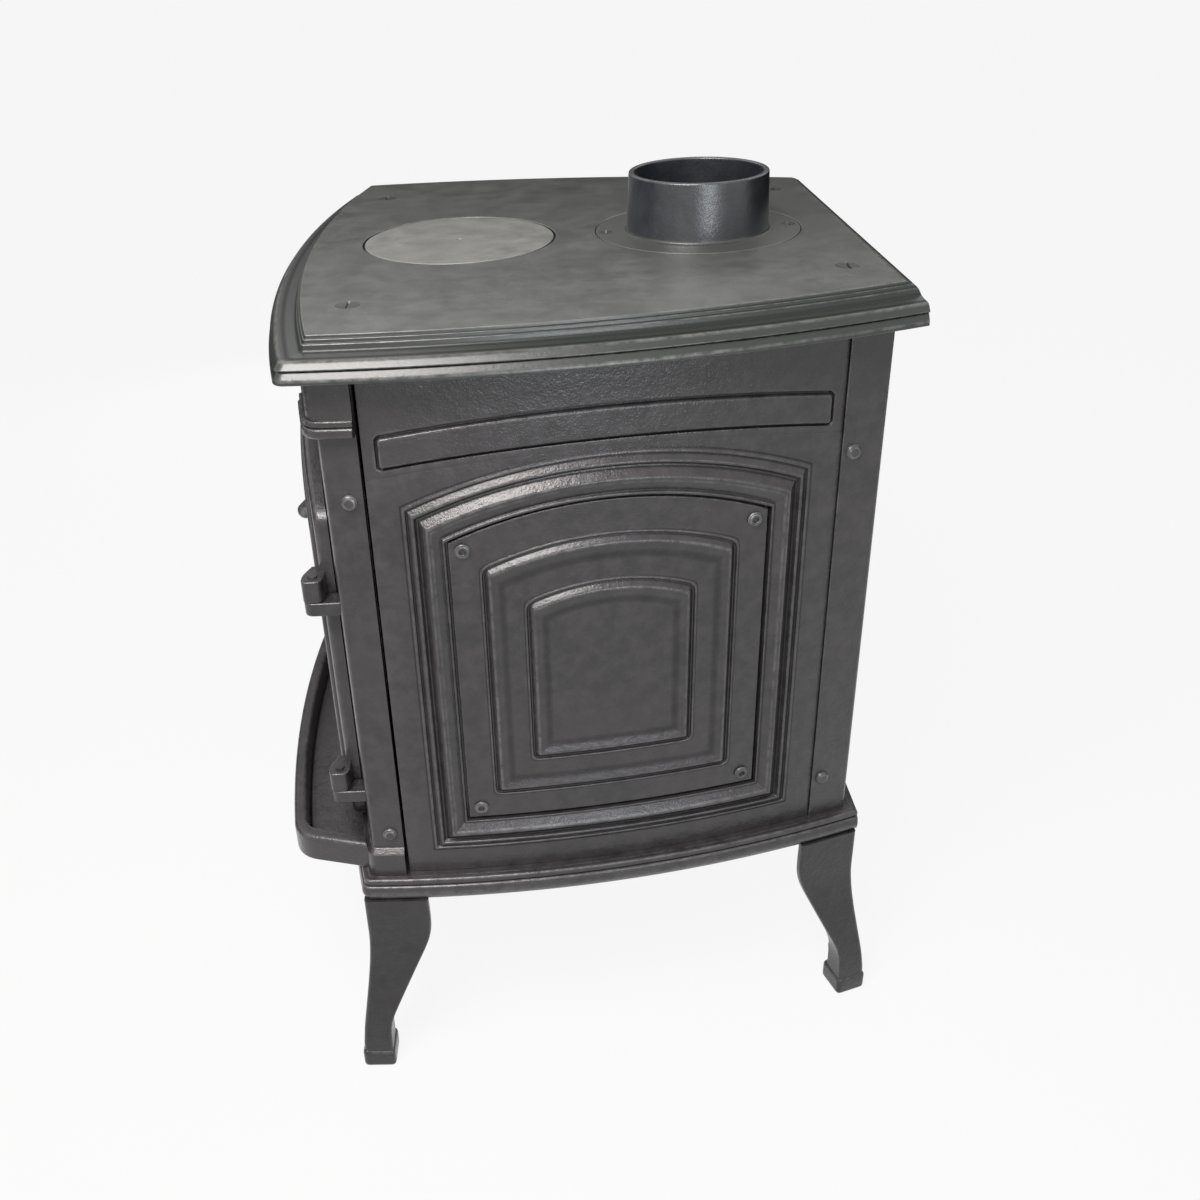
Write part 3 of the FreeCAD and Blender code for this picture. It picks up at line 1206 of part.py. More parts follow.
def make_lever():
    spindle = spindle_axis()
    start_y = boss_face_y() - SLIDE_FIT
    hub = rod(HUB_RADIUS, HUB_LENGTH, V(spindle.x, start_y, spindle.z), FORWARD)
    droop = math.radians(LEVER_DROOP)
    root = V(spindle.x, start_y - HUB_LENGTH / 2, spindle.z)
    swing = lambda a: root + V(0, -LEVER_BEND * math.sin(a), LEVER_BEND * (math.cos(a) - 1))
    bend_end = swing(droop)
    tip = bend_end + V(0, -LEVER_LENGTH * math.cos(droop), -LEVER_LENGTH * math.sin(droop))
    path = Part.Wire([arc(root, swing(droop / 2), bend_end), line(bend_end, tip)])
    section = Part.Wire([Part.Circle(root, FORWARD, LEVER_RADIUS).toShape()])
    bar = path.makePipeShell([section], True, True)
    lever = fuse([hub, bar, Part.makeSphere(LEVER_RADIUS, tip)])
    return lever.cut(rod(SPINDLE_RADIUS, HUB_LENGTH / 2, V(spindle.x, start_y, spindle.z), FORWARD))


def make_spindle():
    spindle = spindle_axis()
    front_y = boss_face_y() - SLIDE_FIT - HUB_LENGTH / 2
    back_y = tongue_front_y() + TONGUE_THICKNESS + SPINDLE_NUT_HEIGHT + SPINDLE_TAIL
    return rod(SPINDLE_RADIUS, back_y - front_y, V(spindle.x, front_y, spindle.z), BACK)


def make_tongue():
    spindle = spindle_axis()
    y = tongue_front_y()
    half = TONGUE_WIDTH / 2
    tip_z = spindle.z - TONGUE_LENGTH + half
    bar = block(spindle.x - half, spindle.x + half, y, y + TONGUE_THICKNESS, tip_z, spindle.z)
    ends = [rod(half, TONGUE_THICKNESS, V(spindle.x, y, z), BACK) for z in (tip_z, spindle.z)]
    return fuse([bar] + ends).cut(rod(SPINDLE_RADIUS, TONGUE_THICKNESS, V(spindle.x, y, spindle.z), BACK))


def make_spindle_nut():
    spindle = spindle_axis()
    foot = V(spindle.x, tongue_front_y() + TONGUE_THICKNESS, spindle.z)
    nut = hexagon(NUT_ACROSS_FLATS + SPINDLE_RADIUS, SPINDLE_NUT_HEIGHT, foot, BACK)
    return nut.cut(rod(SPINDLE_RADIUS, SPINDLE_NUT_HEIGHT, foot, BACK))


# Ash lip

def lip_prism(inset, back_grow, z0, z1, corner_round):
    """The ash lip's outline, with its front and ends moved inward by inset."""
    root_x = FRONT_WIDTH / 2 - LIP_ROOT_INSET - inset
    tip_x = root_x - LIP_END_TAPER
    reach = LIP_REACH - inset
    near = [V(x, FRONT.y_at(x, reach), z0) for x in (-tip_x, 0, tip_x)]
    far = [V(x, FRONT.y_at(x, back_grow), z0) for x in (-root_x, 0, root_x)]
    edges = [arc(*near), line(near[2], far[2]), arc(*reversed(far)), line(far[0], near[0])]
    prism = extruded(edges, UP * (z1 - z0))
    upright = [e for e in prism.Edges
               if e.BoundBox.ZLength > (z1 - z0) / 2 and e.CenterOfMass.y < near[0].y + OVERRUN]
    return prism.makeFillet(corner_round, upright)


def lip_lug(place):
    """A lug at the back of the ash lip that one of its bolts goes into, before the plinth is cut from it."""
    half = 2 * LIP_BOLT_RADIUS
    front_y = FRONT.y_at(place.x, PLINTH_REACH) - LIP_RIM
    return block(place.x - half, place.x + half, front_y, place.y, FLOOR_Z, place.z + half)


def make_ash_lip():
    z1 = FLOOR_Z + LIP_HEIGHT
    outer = lip_prism(0, PLINTH_REACH, FLOOR_Z, z1, LIP_CORNER_ROUND)
    rims = [e for e in outer.Edges if e.BoundBox.ZLength < OVERRUN / 2 and on_lip_rim(e)]
    outer = outer.makeFillet(LIP_EDGE_ROUND, rims)
    pocket = lip_prism(LIP_RIM, PLINTH_REACH - OVERRUN, FLOOR_Z + LIP_FLOOR, z1 + OVERRUN,
                       LIP_CORNER_ROUND - LIP_RIM)
    plinth = plan_prism(PLINTH_REACH, FLOOR_Z - OVERRUN, z1 + OVERRUN)
    lugs = [lip_lug(p).cut(plinth) for p in lip_bolt_places()]
    lip = fuse([outer.cut(pocket)] + lugs)
    length = WALL + PLINTH_REACH + LIP_RIM
    return lip.cut([rod(LIP_BOLT_RADIUS, length, p, FORWARD) for p in lip_bolt_places()])


def on_lip_rim(edge):
    """True for an edge of the lip's front or ends, away from the plinth."""
    mid = edge.valueAt((edge.FirstParameter + edge.LastParameter) / 2)
    reach = math.hypot(mid.x - FRONT.centre.x, mid.y - FRONT.centre.y)
    return reach > FRONT.radius + PLINTH_REACH + OVERRUN


def make_lip_bolts():
    bolts = []
    for place in lip_bolt_places():
        shank = rod(LIP_BOLT_RADIUS, WALL + PLINTH_REACH + LIP_RIM, place, FORWARD)
        head = rod(2 * LIP_BOLT_RADIUS, 2 * LIP_BOLT_RADIUS, place, BACK)
        bolts.append(fuse([shank, head]))
    return group(bolts)


# Inside the firebox

def make_ash_pan():
    half = PAN_WIDTH / 2
    y0 = -PAN_DEPTH / 2
    y1 = PAN_DEPTH / 2
    tray = block(-half, half, y0, y1, PAN_Z, PAN_Z + PAN_HEIGHT)
    t = PAN_SHEET
    tray = tray.cut(block(-half + t, half - t, y0 + t, y1 - t, PAN_Z + t, PAN_Z + PAN_HEIGHT + OVERRUN))
    grip_half = PAN_GRIP_WIDTH / 2
    mid_z = PAN_Z + PAN_HEIGHT / 2
    grip = block(-grip_half, grip_half, y0 - PAN_GRIP_REACH, y0, mid_z - 2 * t, mid_z + 2 * t)
    finger = block(-grip_half + 2 * t, grip_half - 2 * t, y0 - PAN_GRIP_REACH + 2 * t, y0,
                   mid_z - OVERRUN, mid_z + OVERRUN)
    return fuse([tray, grip.cut(finger)])


def bed_grow():
    """How far inside the plan the grate bed's edge lies."""
    return -WALL - LEDGE_WALL - BED_GAP


def make_grate_bed():
    bed = plan_prism(bed_grow(), BED_Z, FIRE_Z).common(
        block(-FRONT_WIDTH, FRONT_WIDTH, -BED_DEPTH / 2, BED_DEPTH / 2, BED_Z, FIRE_Z))
    w = GRATE_WIDTH / 2
    d = GRATE_DEPTH / 2
    seat = block(-w, w, -d, d, FIRE_Z - GRATE_THICKNESS, FIRE_Z + OVERRUN)
    in_w = w - GRATE_LEDGE
    in_d = d - GRATE_LEDGE
    hole = block(-in_w, in_w, -in_d, in_d, BED_Z - OVERRUN, FIRE_Z + OVERRUN)
    return bed.cut([seat, hole])


def make_grate():
    w = GRATE_WIDTH / 2 - GRATE_GAP
    d = GRATE_DEPTH / 2 - GRATE_GAP
    z0 = FIRE_Z - GRATE_THICKNESS
    plate = block(-w, w, -d, d, z0, FIRE_Z)
    pitch = (2 * w - 2 * GRATE_MARGIN) / GRATE_SLOTS
    slots = []
    for i in range(GRATE_SLOTS):
        x = -w + GRATE_MARGIN + (i + 0.5) * pitch
        half = GRATE_SLOT_WIDTH / 2
        slots.append(block(x - half, x + half, -d + GRATE_MARGIN, d - GRATE_MARGIN,
                           z0 - OVERRUN, FIRE_Z + OVERRUN))
    return plate.cut(slots)


def brick_line(set_in):
    """Front and rear points of a line along the right side, straight between them, set in from the plan."""
    y0 = -BRICK_DEPTH / 2
    y1 = BRICK_DEPTH / 2
    grow = bed_grow() - set_in
    return V(SIDE.x_at(y0, grow), y0, 0), V(SIDE.x_at(y1, grow), y1, 0)


def make_side_brick():
    front, rear = brick_line(BRICK_GAP - BED_GAP)
    step = V(-BRICK_THICKNESS, 0, 0)
    points = [p + UP * FIRE_Z for p in (front, rear, rear + step, front + step)]
    return polygon(points, UP * BRICK_HEIGHT)


def make_rear_brick():
    front, rear = brick_line(BRICK_GAP - BED_GAP)
    slope = (front.x - rear.x) / (rear.y - front.y)
    y1 = rear.y
    y0 = y1 - BRICK_THICKNESS
    inner = rear.x - BRICK_THICKNESS - SEAT_GAP
    wide = inner + slope * BRICK_THICKNESS
    points = [V(-wide, y0, FIRE_Z), V(wide, y0, FIRE_Z), V(inner, y1, FIRE_Z), V(-inner, y1, FIRE_Z)]
    return polygon(points, UP * BRICK_HEIGHT)


def make_baffle():
    front, rear = brick_line(BRICK_GAP - BED_GAP)
    slope = (front.x - rear.x) / (rear.y - front.y)
    y1 = rear.y
    y0 = y1 - BAFFLE_DEPTH
    wide = rear.x + slope * BAFFLE_DEPTH
    corners = ((-wide, y0), (wide, y0), (rear.x, y1), (-rear.x, y1))
    return polygon([V(x, y, BRICK_TOP_Z) for x, y in corners], UP * BAFFLE_THICKNESS)


def make_log_guard():
    front, _ = brick_line(BRICK_GAP - BED_GAP)
    half = front.x - BRICK_THICKNESS - 2 * SEAT_GAP
    y0 = -BRICK_DEPTH / 2
    plate = block(-half, half, y0, y0 + GUARD_THICKNESS, FIRE_Z, FIRE_Z + GUARD_HEIGHT)
    pitch = (2 * half - 2 * GUARD_MARGIN) / GUARD_SLOTS
    slots = []
    for i in range(GUARD_SLOTS):
        x = -half + GUARD_MARGIN + (i + 0.5) * pitch
        w = GUARD_SLOT_WIDTH / 2
        slots.append(block(x - w, x + w, y0 - OVERRUN, y0 + GUARD_THICKNESS + OVERRUN,
                           FIRE_Z + GUARD_MARGIN, FIRE_Z + GUARD_HEIGHT - GUARD_MARGIN))
    return plate.cut(slots)


# Every piece by name

def make_pieces():
    panel = make_side_panel()
    cover = make_side_cover()
    brick = make_side_brick()
    pieces = {
        "base_plate": make_base_plate(),
        "leg_bolts": make_leg_bolts(),
        "front_frame": make_front_frame(),
        "hinge_pins": make_hinge_pins(),
        "side_panel_right": panel,
        "side_panel_left": mirrored(panel),
        "side_cover_right": cover,
        "side_cover_left": mirrored(cover),
        "cover_bolts": make_cover_bolts(),
        "rear_panel": make_rear_panel(),
        "flange_bolts": make_flange_bolts(),
        "top_plate": make_top_plate(),
        "tie_rods": make_tie_rods(),
        "tie_rod_nuts": make_tie_nuts(),
        "flue_collar": make_flue_collar(),
        "collar_screws": make_collar_screws(),
        "hotplate": make_hotplate(),
        "ash_lip": make_ash_lip(),
        "lip_bolts": make_lip_bolts(),
        "air_slide": make_air_slide(),
        "air_knob": make_air_knob(),
        "slide_guides": make_slide_guides(),
        "grate_bed": make_grate_bed(),
        "grate": make_grate(),
        "ash_pan": make_ash_pan(),
        "side_brick_right": brick,
        "side_brick_left": mirrored(brick),
        "rear_brick": make_rear_brick(),
        "baffle": make_baffle(),
        "log_guard": make_log_guard(),
        "door": make_door(),
        "door_glass": make_glass(),
        "glass_gasket": make_gasket(),
        "glass_ring": make_glass_ring(),
        "ring_screws": make_ring_screws(),
        "door_rope": rope_ring(SLIDE_FIT, DOOR_GAP + ROPE_DEPTH),
        "handle_lever": make_lever(),
        "handle_spindle": make_spindle(),
        "latch_tongue": make_tongue(),
        "spindle_nut": make_spindle_nut(),
    }
    pieces.update(make_legs())
    return pieces


def depth_reach(shape):
    """Lowest and highest Y of a piece, from a rough mesh of it."""
    points, _ = shape.tessellate(ROUGH_MESH)
    depths = [p.y for p in points]
    return min(depths), max(depths)


def main():
    pieces = make_pieces()
    reaches = [depth_reach(shape) for shape in pieces.values()]
    shift = BACK * (-(min(r[0] for r in reaches) + max(r[1] for r in reaches)) / 2)
    os.makedirs("parts", exist_ok=True)
    for name, shape in pieces.items():
        shape.translate(shift)
        shape.exportStep(f"parts/{name}.step")
    places = {
        "hinge axis": hinge_axis() + UP * lug_heights()[0],
        "spindle axis": spindle_axis() + BACK * boss_face_y(),
        "hotplate": V(0, HOTPLATE_Y, COOK_Z),
        "flue bore": V(0, FLUE_Y, COOK_Z),
        "pull rod": V(0, SLIDE_Y, pull_rod_z()),
        "shift": V(0, 0, 0),
    }
    for name, place in places.items():
        print(name, [round(c, 3) for c in place + shift])


main()
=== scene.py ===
import logging
import math
from dataclasses import dataclass
from enum import Enum
from functools import cached_property
from typing import Callable, Optional, Sequence, Union

import bmesh
import bpy
import numpy as np
from mathutils import Matrix, Vector
from mathutils.geometry import delaunay_2d_cdt


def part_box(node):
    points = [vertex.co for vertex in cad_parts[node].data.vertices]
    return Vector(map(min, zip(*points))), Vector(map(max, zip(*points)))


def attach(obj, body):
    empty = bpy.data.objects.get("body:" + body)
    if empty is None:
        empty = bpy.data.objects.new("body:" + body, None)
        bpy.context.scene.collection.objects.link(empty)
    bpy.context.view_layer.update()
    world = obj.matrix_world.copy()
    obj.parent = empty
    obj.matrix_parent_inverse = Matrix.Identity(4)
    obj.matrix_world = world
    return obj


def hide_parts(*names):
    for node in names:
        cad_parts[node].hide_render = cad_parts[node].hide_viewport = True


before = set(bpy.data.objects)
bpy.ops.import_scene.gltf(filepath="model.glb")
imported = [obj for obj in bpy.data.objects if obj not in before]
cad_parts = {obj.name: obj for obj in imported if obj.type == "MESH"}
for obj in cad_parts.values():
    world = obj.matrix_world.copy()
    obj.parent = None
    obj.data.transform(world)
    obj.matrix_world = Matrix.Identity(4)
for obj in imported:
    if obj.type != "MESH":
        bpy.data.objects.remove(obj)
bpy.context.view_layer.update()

# Lengths are millimetres in the body's own frame, with the door towards -Y and Y = 0 at the middle of the
# body's depth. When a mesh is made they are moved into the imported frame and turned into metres.
MM = 0.001
MERGE = 0.004
SHARP_ANGLE = 38.0
FULL_RUB = 2.2

# Levels of the castings, the middles of the top's round openings and the sides' relief, and where parts meet.
BASE_Z = 197.0
FLOOR_Z = 219.0
SKIRT_Z = 690.0
ROOF_Z = 708.0
COOK_Z = 718.0
HOTPLATE_Y = -116.0
FLUE_Y = 95.6
RELIEF_Y = -2.75
HINGE = (232.0, -242.76)
FLANGE_END_Y = -190.0
PANEL_REAR_Y = 182.0
REAR_Y = 218.0
WALL = 9.0

log = logging.getLogger("stove")
Colour = tuple[float, float, float]


class Body(Enum):
    """The CAD bodies that pieces ride on."""

    STOVE = "body"
    DOOR = "door"
    HANDLE = "handle"
    HOTPLATE = "hotplate"


class Hand(Enum):
    """The side of the stove a piece is on, by the sign of its X."""

    RIGHT = 1
    LEFT = -1


@dataclass
class Surface:
    """Points in millimetres, the faces between them, and a crest value for each point.

    The crest value is 1 where a point is readily rubbed bare, 0 on plain faces and -1 deep in a groove,
    where the finishes paint shade.
    """

    points: np.ndarray
    faces: list[np.ndarray]
    crest: np.ndarray

    @classmethod
    def grid(cls, points: np.ndarray, crest: Optional[np.ndarray] = None, wrap_rows: bool = False,
             wrap_columns: bool = False) -> "Surface":
        """Joins a grid of points by quads.

        Args:
            points: rows x columns x 3 places.
            crest: the points' crest values, of a shape that spreads over the grid.
            wrap_rows: whether the last row joins the first.
            wrap_columns: whether the last column joins the first.

        Returns:
            The surface.
        """
        rows, columns = points.shape[:2]
        row, column = np.meshgrid(np.arange(rows - (not wrap_rows)), np.arange(columns - (not wrap_columns)),
                                  indexing="ij")
        below, beside = (row + 1) % rows, (column + 1) % columns
        quads = np.stack([row * columns + column, row * columns + beside,
                          below * columns + beside, below * columns + column], axis=-1)
        rubbed = np.broadcast_to(0.0 if crest is None else crest, (rows, columns))
        return cls(points.reshape(-1, 3), [quads.reshape(-1, 4)], rubbed.reshape(-1))

    @classmethod
    def slab(cls, front: np.ndarray, back: np.ndarray, crest: Optional[np.ndarray] = None) -> "Surface":
        """Closes two grids of one shape into a slab by walls round their rims.

        Args:
            front: rows x columns x 3 places of the outer face.
            back: the same of the inner face.
            crest: the outer face's crest values.

        Returns:
            The closed surface.
        """
        rows, columns = front.shape[:2]
        faces = [cls.grid(front, crest), cls.grid(back)]
        index = np.arange(rows * columns).reshape(rows, columns)
        rim = np.concatenate([index[0], index[1:, -1], index[-1, -2::-1], index[-2:0:-1, 0]])
        beside = np.roll(rim, -1)
        slab = cls.joined(*faces)
        slab.faces.append(np.stack([rim, beside, beside + index.size, rim + index.size], axis=-1))
        return slab

    @classmethod
    def flat(cls, loops: Sequence[np.ndarray], level: float) -> "Surface":
        """Fills the first loop at one level, leaving out what the other loops enclose.

        Args:
            loops: closed loops of X and Y, the outer one first.
            level: the Z of the face.

        Returns:
            The flat surface, in triangles.
        """
        spots = np.concatenate(loops)
        starts = np.cumsum([0] + [len(loop) for loop in loops])
        steps = [np.arange(len(loop)) for loop in loops]
        sides = np.concatenate([np.stack([step, (step + 1) % len(step)], axis=1) + start
                                for step, start in zip(steps, starts)])
        inside = 1
        found = delaunay_2d_cdt(list(map(Vector, spots)), sides.tolist(), [], inside, 1e-5)
        places, faces = np.array(found[0]), np.array(found[2])
        middles = places[faces].mean(axis=1)
        kept = ~np.any([encloses(hole, middles) for hole in loops[1:]], axis=0)
        places = np.column_stack([places, np.full(len(places), level)])
        return cls(places, [faces[kept]], np.zeros(len(places)))

    @classmethod
    def turned(cls, profile: np.ndarray, crest: Optional[np.ndarray] = None, segments: int = 96) -> "Surface":
        """Turns a profile round Z; a radius of zero closes to a pole.

        Args:
            profile: n x 2 values: radius and height.
            crest: the profile's crest values.
            segments: steps round the turn.

        Returns:
            The surface.
        """
        angle = np.arange(segments) * (2 * np.pi / segments)
        around = np.stack([np.cos(angle), np.sin(angle), np.zeros(segments)], axis=-1)
        upright = np.array([0.0, 0.0, 1.0])
        points = profile[:, None, :1] * around[None] + profile[:, None, 1:2] * upright
        return cls.grid(points, None if crest is None else crest[:, None], wrap_columns=True)

    @classmethod
    def joined(cls, *parts: "Surface") -> "Surface":
        """Makes one surface of several.

        Args:
            parts: the surfaces.

        Returns:
            Them together, still apart in space.
        """
        starts = np.cumsum([0] + [len(part.points) for part in parts])
        faces = [face + start for part, start in zip(parts, starts) for face in part.faces]
        return cls(np.concatenate([part.points for part in parts]), faces,
                   np.concatenate([part.crest for part in parts]))

    def capped(self, columns: int) -> "Surface":
        """Closes a grid whose columns wrap, by one face over its first row and one over its last.

        Args:
            columns: the grid's number of columns.

        Returns:
            The closed surface.
        """
        first = np.arange(columns)[None]
        last = len(self.points) - columns + np.arange(columns)[None]
        return Surface(self.points, self.faces + [first, last], self.crest)

    def moved(self, by: Sequence[float]) -> "Surface":
        """The surface shifted by a vector."""
        return Surface(self.points + np.asarray(by, float), self.faces, self.crest)

    def mirrored(self) -> "Surface":
        """The surface on the other side of the stove."""
        faces = [face[:, ::-1] for face in self.faces]
        return Surface(self.points * np.array([-1.0, 1.0, 1.0]), faces, self.crest)

    def seated(self, spot: Sequence[float], axis: Sequence[float]) -> "Surface":
        """The surface with its own +Z turned to an axis and its own origin set on a spot."""
        turn = np.array(Vector((0.0, 0.0, 1.0)).rotation_difference(Vector(axis)).to_matrix())
        return Surface(self.points @ turn.T + np.asarray(spot, float), self.faces, self.crest)

    def on(self, hand: Hand) -> "Surface":
        """The surface as drawn on the right, or mirrored to the left."""
        return self if hand is Hand.RIGHT else self.mirrored()


def rounded(corners: Union[np.ndarray, Sequence], closed: bool = False, steps: int = 6,
            convex: float = 1.0) -> tuple[np.ndarray, np.ndarray]:
    """Rounds the corners of one polyline or a stack of them.

    Each corner gives way to a quadratic curve that leaves one side and joins the next at the corner's own cut
    from it, and at less than half of either side. A corner that turns outwards gets a crest value above zero,
    the more the tighter, and one that turns inwards gets one below zero.

    Args:
        corners: ... x n x 3 values: two coordinates and the cut.
        closed: whether the last corner joins the first.
        steps: points on each corner.
        convex: 1 where a turn to the right faces outwards, and -1 where a turn to the left does.

    Returns:
        The points and their crest values.
    """
    corners = np.asarray(corners, float)
    spots = corners[..., :2]
    before, after = np.roll(spots, 1, axis=-2) - spots, np.roll(spots, -1, axis=-2) - spots
    reach_before = np.maximum(np.linalg.norm(before, axis=-1), 1e-9)
    reach_after = np.maximum(np.linalg.norm(after, axis=-1), 1e-9)
    cut = np.minimum(corners[..., 2], 0.49 * np.minimum(reach_before, reach_after))
    start = spots + before * (cut / reach_before)[..., None]
    end = spots + after * (cut / reach_after)[..., None]
    t = np.linspace(0.0, 1.0, steps)[:, None]
    first, tip, last = (side[..., None, :] for side in (start, spots, end))
    points = first * (1 - t) ** 2 + tip * 2 * t * (1 - t) + last * t ** 2
    turn = before[..., 0] * after[..., 1] - before[..., 1] * after[..., 0]
    tight = np.clip(FULL_RUB / np.maximum(cut, 0.2), 0.0, 1.0) * np.sign(np.round(turn * convex, 6))
    crest = tight[..., None] * np.sin(np.pi * t[:, 0])
    points = points.reshape(*spots.shape[:-2], -1, 2)
    crest = crest.reshape(*spots.shape[:-2], -1)
    if closed:
        return points, crest
    ends = slice(steps - 1, points.shape[-2] - steps + 1)
    return points[..., ends, :], crest[..., ends]


def finer(path: np.ndarray, crest: np.ndarray, step: float) -> tuple[np.ndarray, np.ndarray]:
    """Adds points to the long straight runs of a path, so that none is longer than a step.

    Args:
        path: n x k values.
        crest: the points' crest values.
        step: the longest run left without a point.

    Returns:
        The finer path and its crest values.
    """
    along = np.concatenate([[0.0], np.cumsum(np.linalg.norm(np.diff(path, axis=0), axis=1))])
    wanted = np.union1d(along, np.arange(step, along[-1], step))
    wanted = wanted[np.concatenate([[True], np.diff(wanted) > 1e-3])]
    spread = np.stack([np.interp(wanted, along, path[:, axis]) for axis in range(path.shape[1])], axis=-1)
    return spread, np.interp(wanted, along, crest)


def encloses(loop: np.ndarray, spots: np.ndarray) -> np.ndarray:
    """Finds the spots inside a closed loop: those with an odd number of its sides ahead of them along X.

    Args:
        loop: n x 2 places.
        spots: m x 2 places.

    Returns:
        A truth value for each spot.
    """
    near, far = loop[None], np.roll(loop, -1, axis=0)[None]
    x, y = spots[:, None, 0], spots[:, None, 1]
    spans = (near[..., 1] > y) != (far[..., 1] > y)
    rise = np.where(spans, far[..., 1] - near[..., 1], 1.0)
    ahead = near[..., 0] + (y - near[..., 1]) * (far[..., 0] - near[..., 0]) / rise > x
    return np.sum(spans & ahead, axis=1) % 2 == 1


def ring(radius: float, middle: Sequence[float], segments: int = 96) -> np.ndarray:
    """A circle of X and Y, at the same angles as a turned surface."""
    angle = np.arange(segments) * (2 * np.pi / segments)
    return np.stack([np.cos(angle), np.sin(angle)], axis=-1) * radius + np.asarray(middle, float)


def lifted(flat: np.ndarray, level: np.ndarray) -> np.ndarray:
    """Rows x columns x 2 places with each row's own Z added."""
    return np.concatenate([flat, np.broadcast_to(level[:, None, None], flat.shape[:2] + (1,))], axis=-1)


def prism(loop: np.ndarray, low: float, high: float, soften: float) -> Surface:
    """Carries a closed loop up from one level to another.

    The edges are rounded: near each end the loop draws in along its own normals as a quarter circle does.

    Args:
        loop: n x 2 places, anticlockwise.
        low: the lower level.
        high: the upper level.
        soften: the radius of both edges.

    Returns:
        The closed surface.
    """
    along = np.roll(loop, -1, axis=0) - np.roll(loop, 1, axis=0)
    normal = np.stack([along[:, 1], -along[:, 0]], axis=-1)
    normal /= np.maximum(np.linalg.norm(normal, axis=1), 1e-9)[:, None]
    angle = np.linspace(0.0, np.pi / 2, 5)
    draw = soften * (1 - np.sin(angle))
    rise = soften * (1 - np.cos(angle))
    inset = np.concatenate([draw, draw[::-1]])
    level = np.concatenate([low + rise, high - rise[::-1]])
    points = lifted(loop[None] - normal[None] * inset[:, None, None], level)
    rubbed = np.where(inset > 0, 0.8, 0.0)
    rubbed[[0, -1]] = 0.0
    return Surface.grid(points, rubbed[:, None], wrap_columns=True).capped(len(loop))


@dataclass(frozen=True)
class Bow:
    """A shallow arc in plan that bulges to the right of the way from its start to its end."""

    start: tuple[float, float]
    end: tuple[float, float]
    bulge: float

    @cached_property
    def radius(self) -> float:
        """The arc's radius."""
        half = math.dist(self.start, self.end) / 2
        return (half ** 2 + self.bulge ** 2) / (2 * self.bulge)

    @cached_property
    def centre(self) -> np.ndarray:
        """The arc's middle point."""
        start, end = np.array(self.start), np.array(self.end)
        way = (end - start) / np.linalg.norm(end - start)
        outward = np.array([way[1], -way[0]])
        return (start + end) / 2 - outward * (self.radius - self.bulge)

    def x_at(self, y: np.ndarray, grow: np.ndarray = 0.0) -> np.ndarray:
        """X of the arc grown outwards, at a Y, on its +X side."""
        return self.centre[0] + np.sqrt((self.radius + grow) ** 2 - (y - self.centre[1]) ** 2)

    def y_at(self, x: np.ndarray, grow: np.ndarray = 0.0) -> np.ndarray:
        """Y of the arc grown outwards, at an X, on its -Y side."""
        return self.centre[1] - np.sqrt((self.radius + grow) ** 2 - (x - self.centre[0]) ** 2)


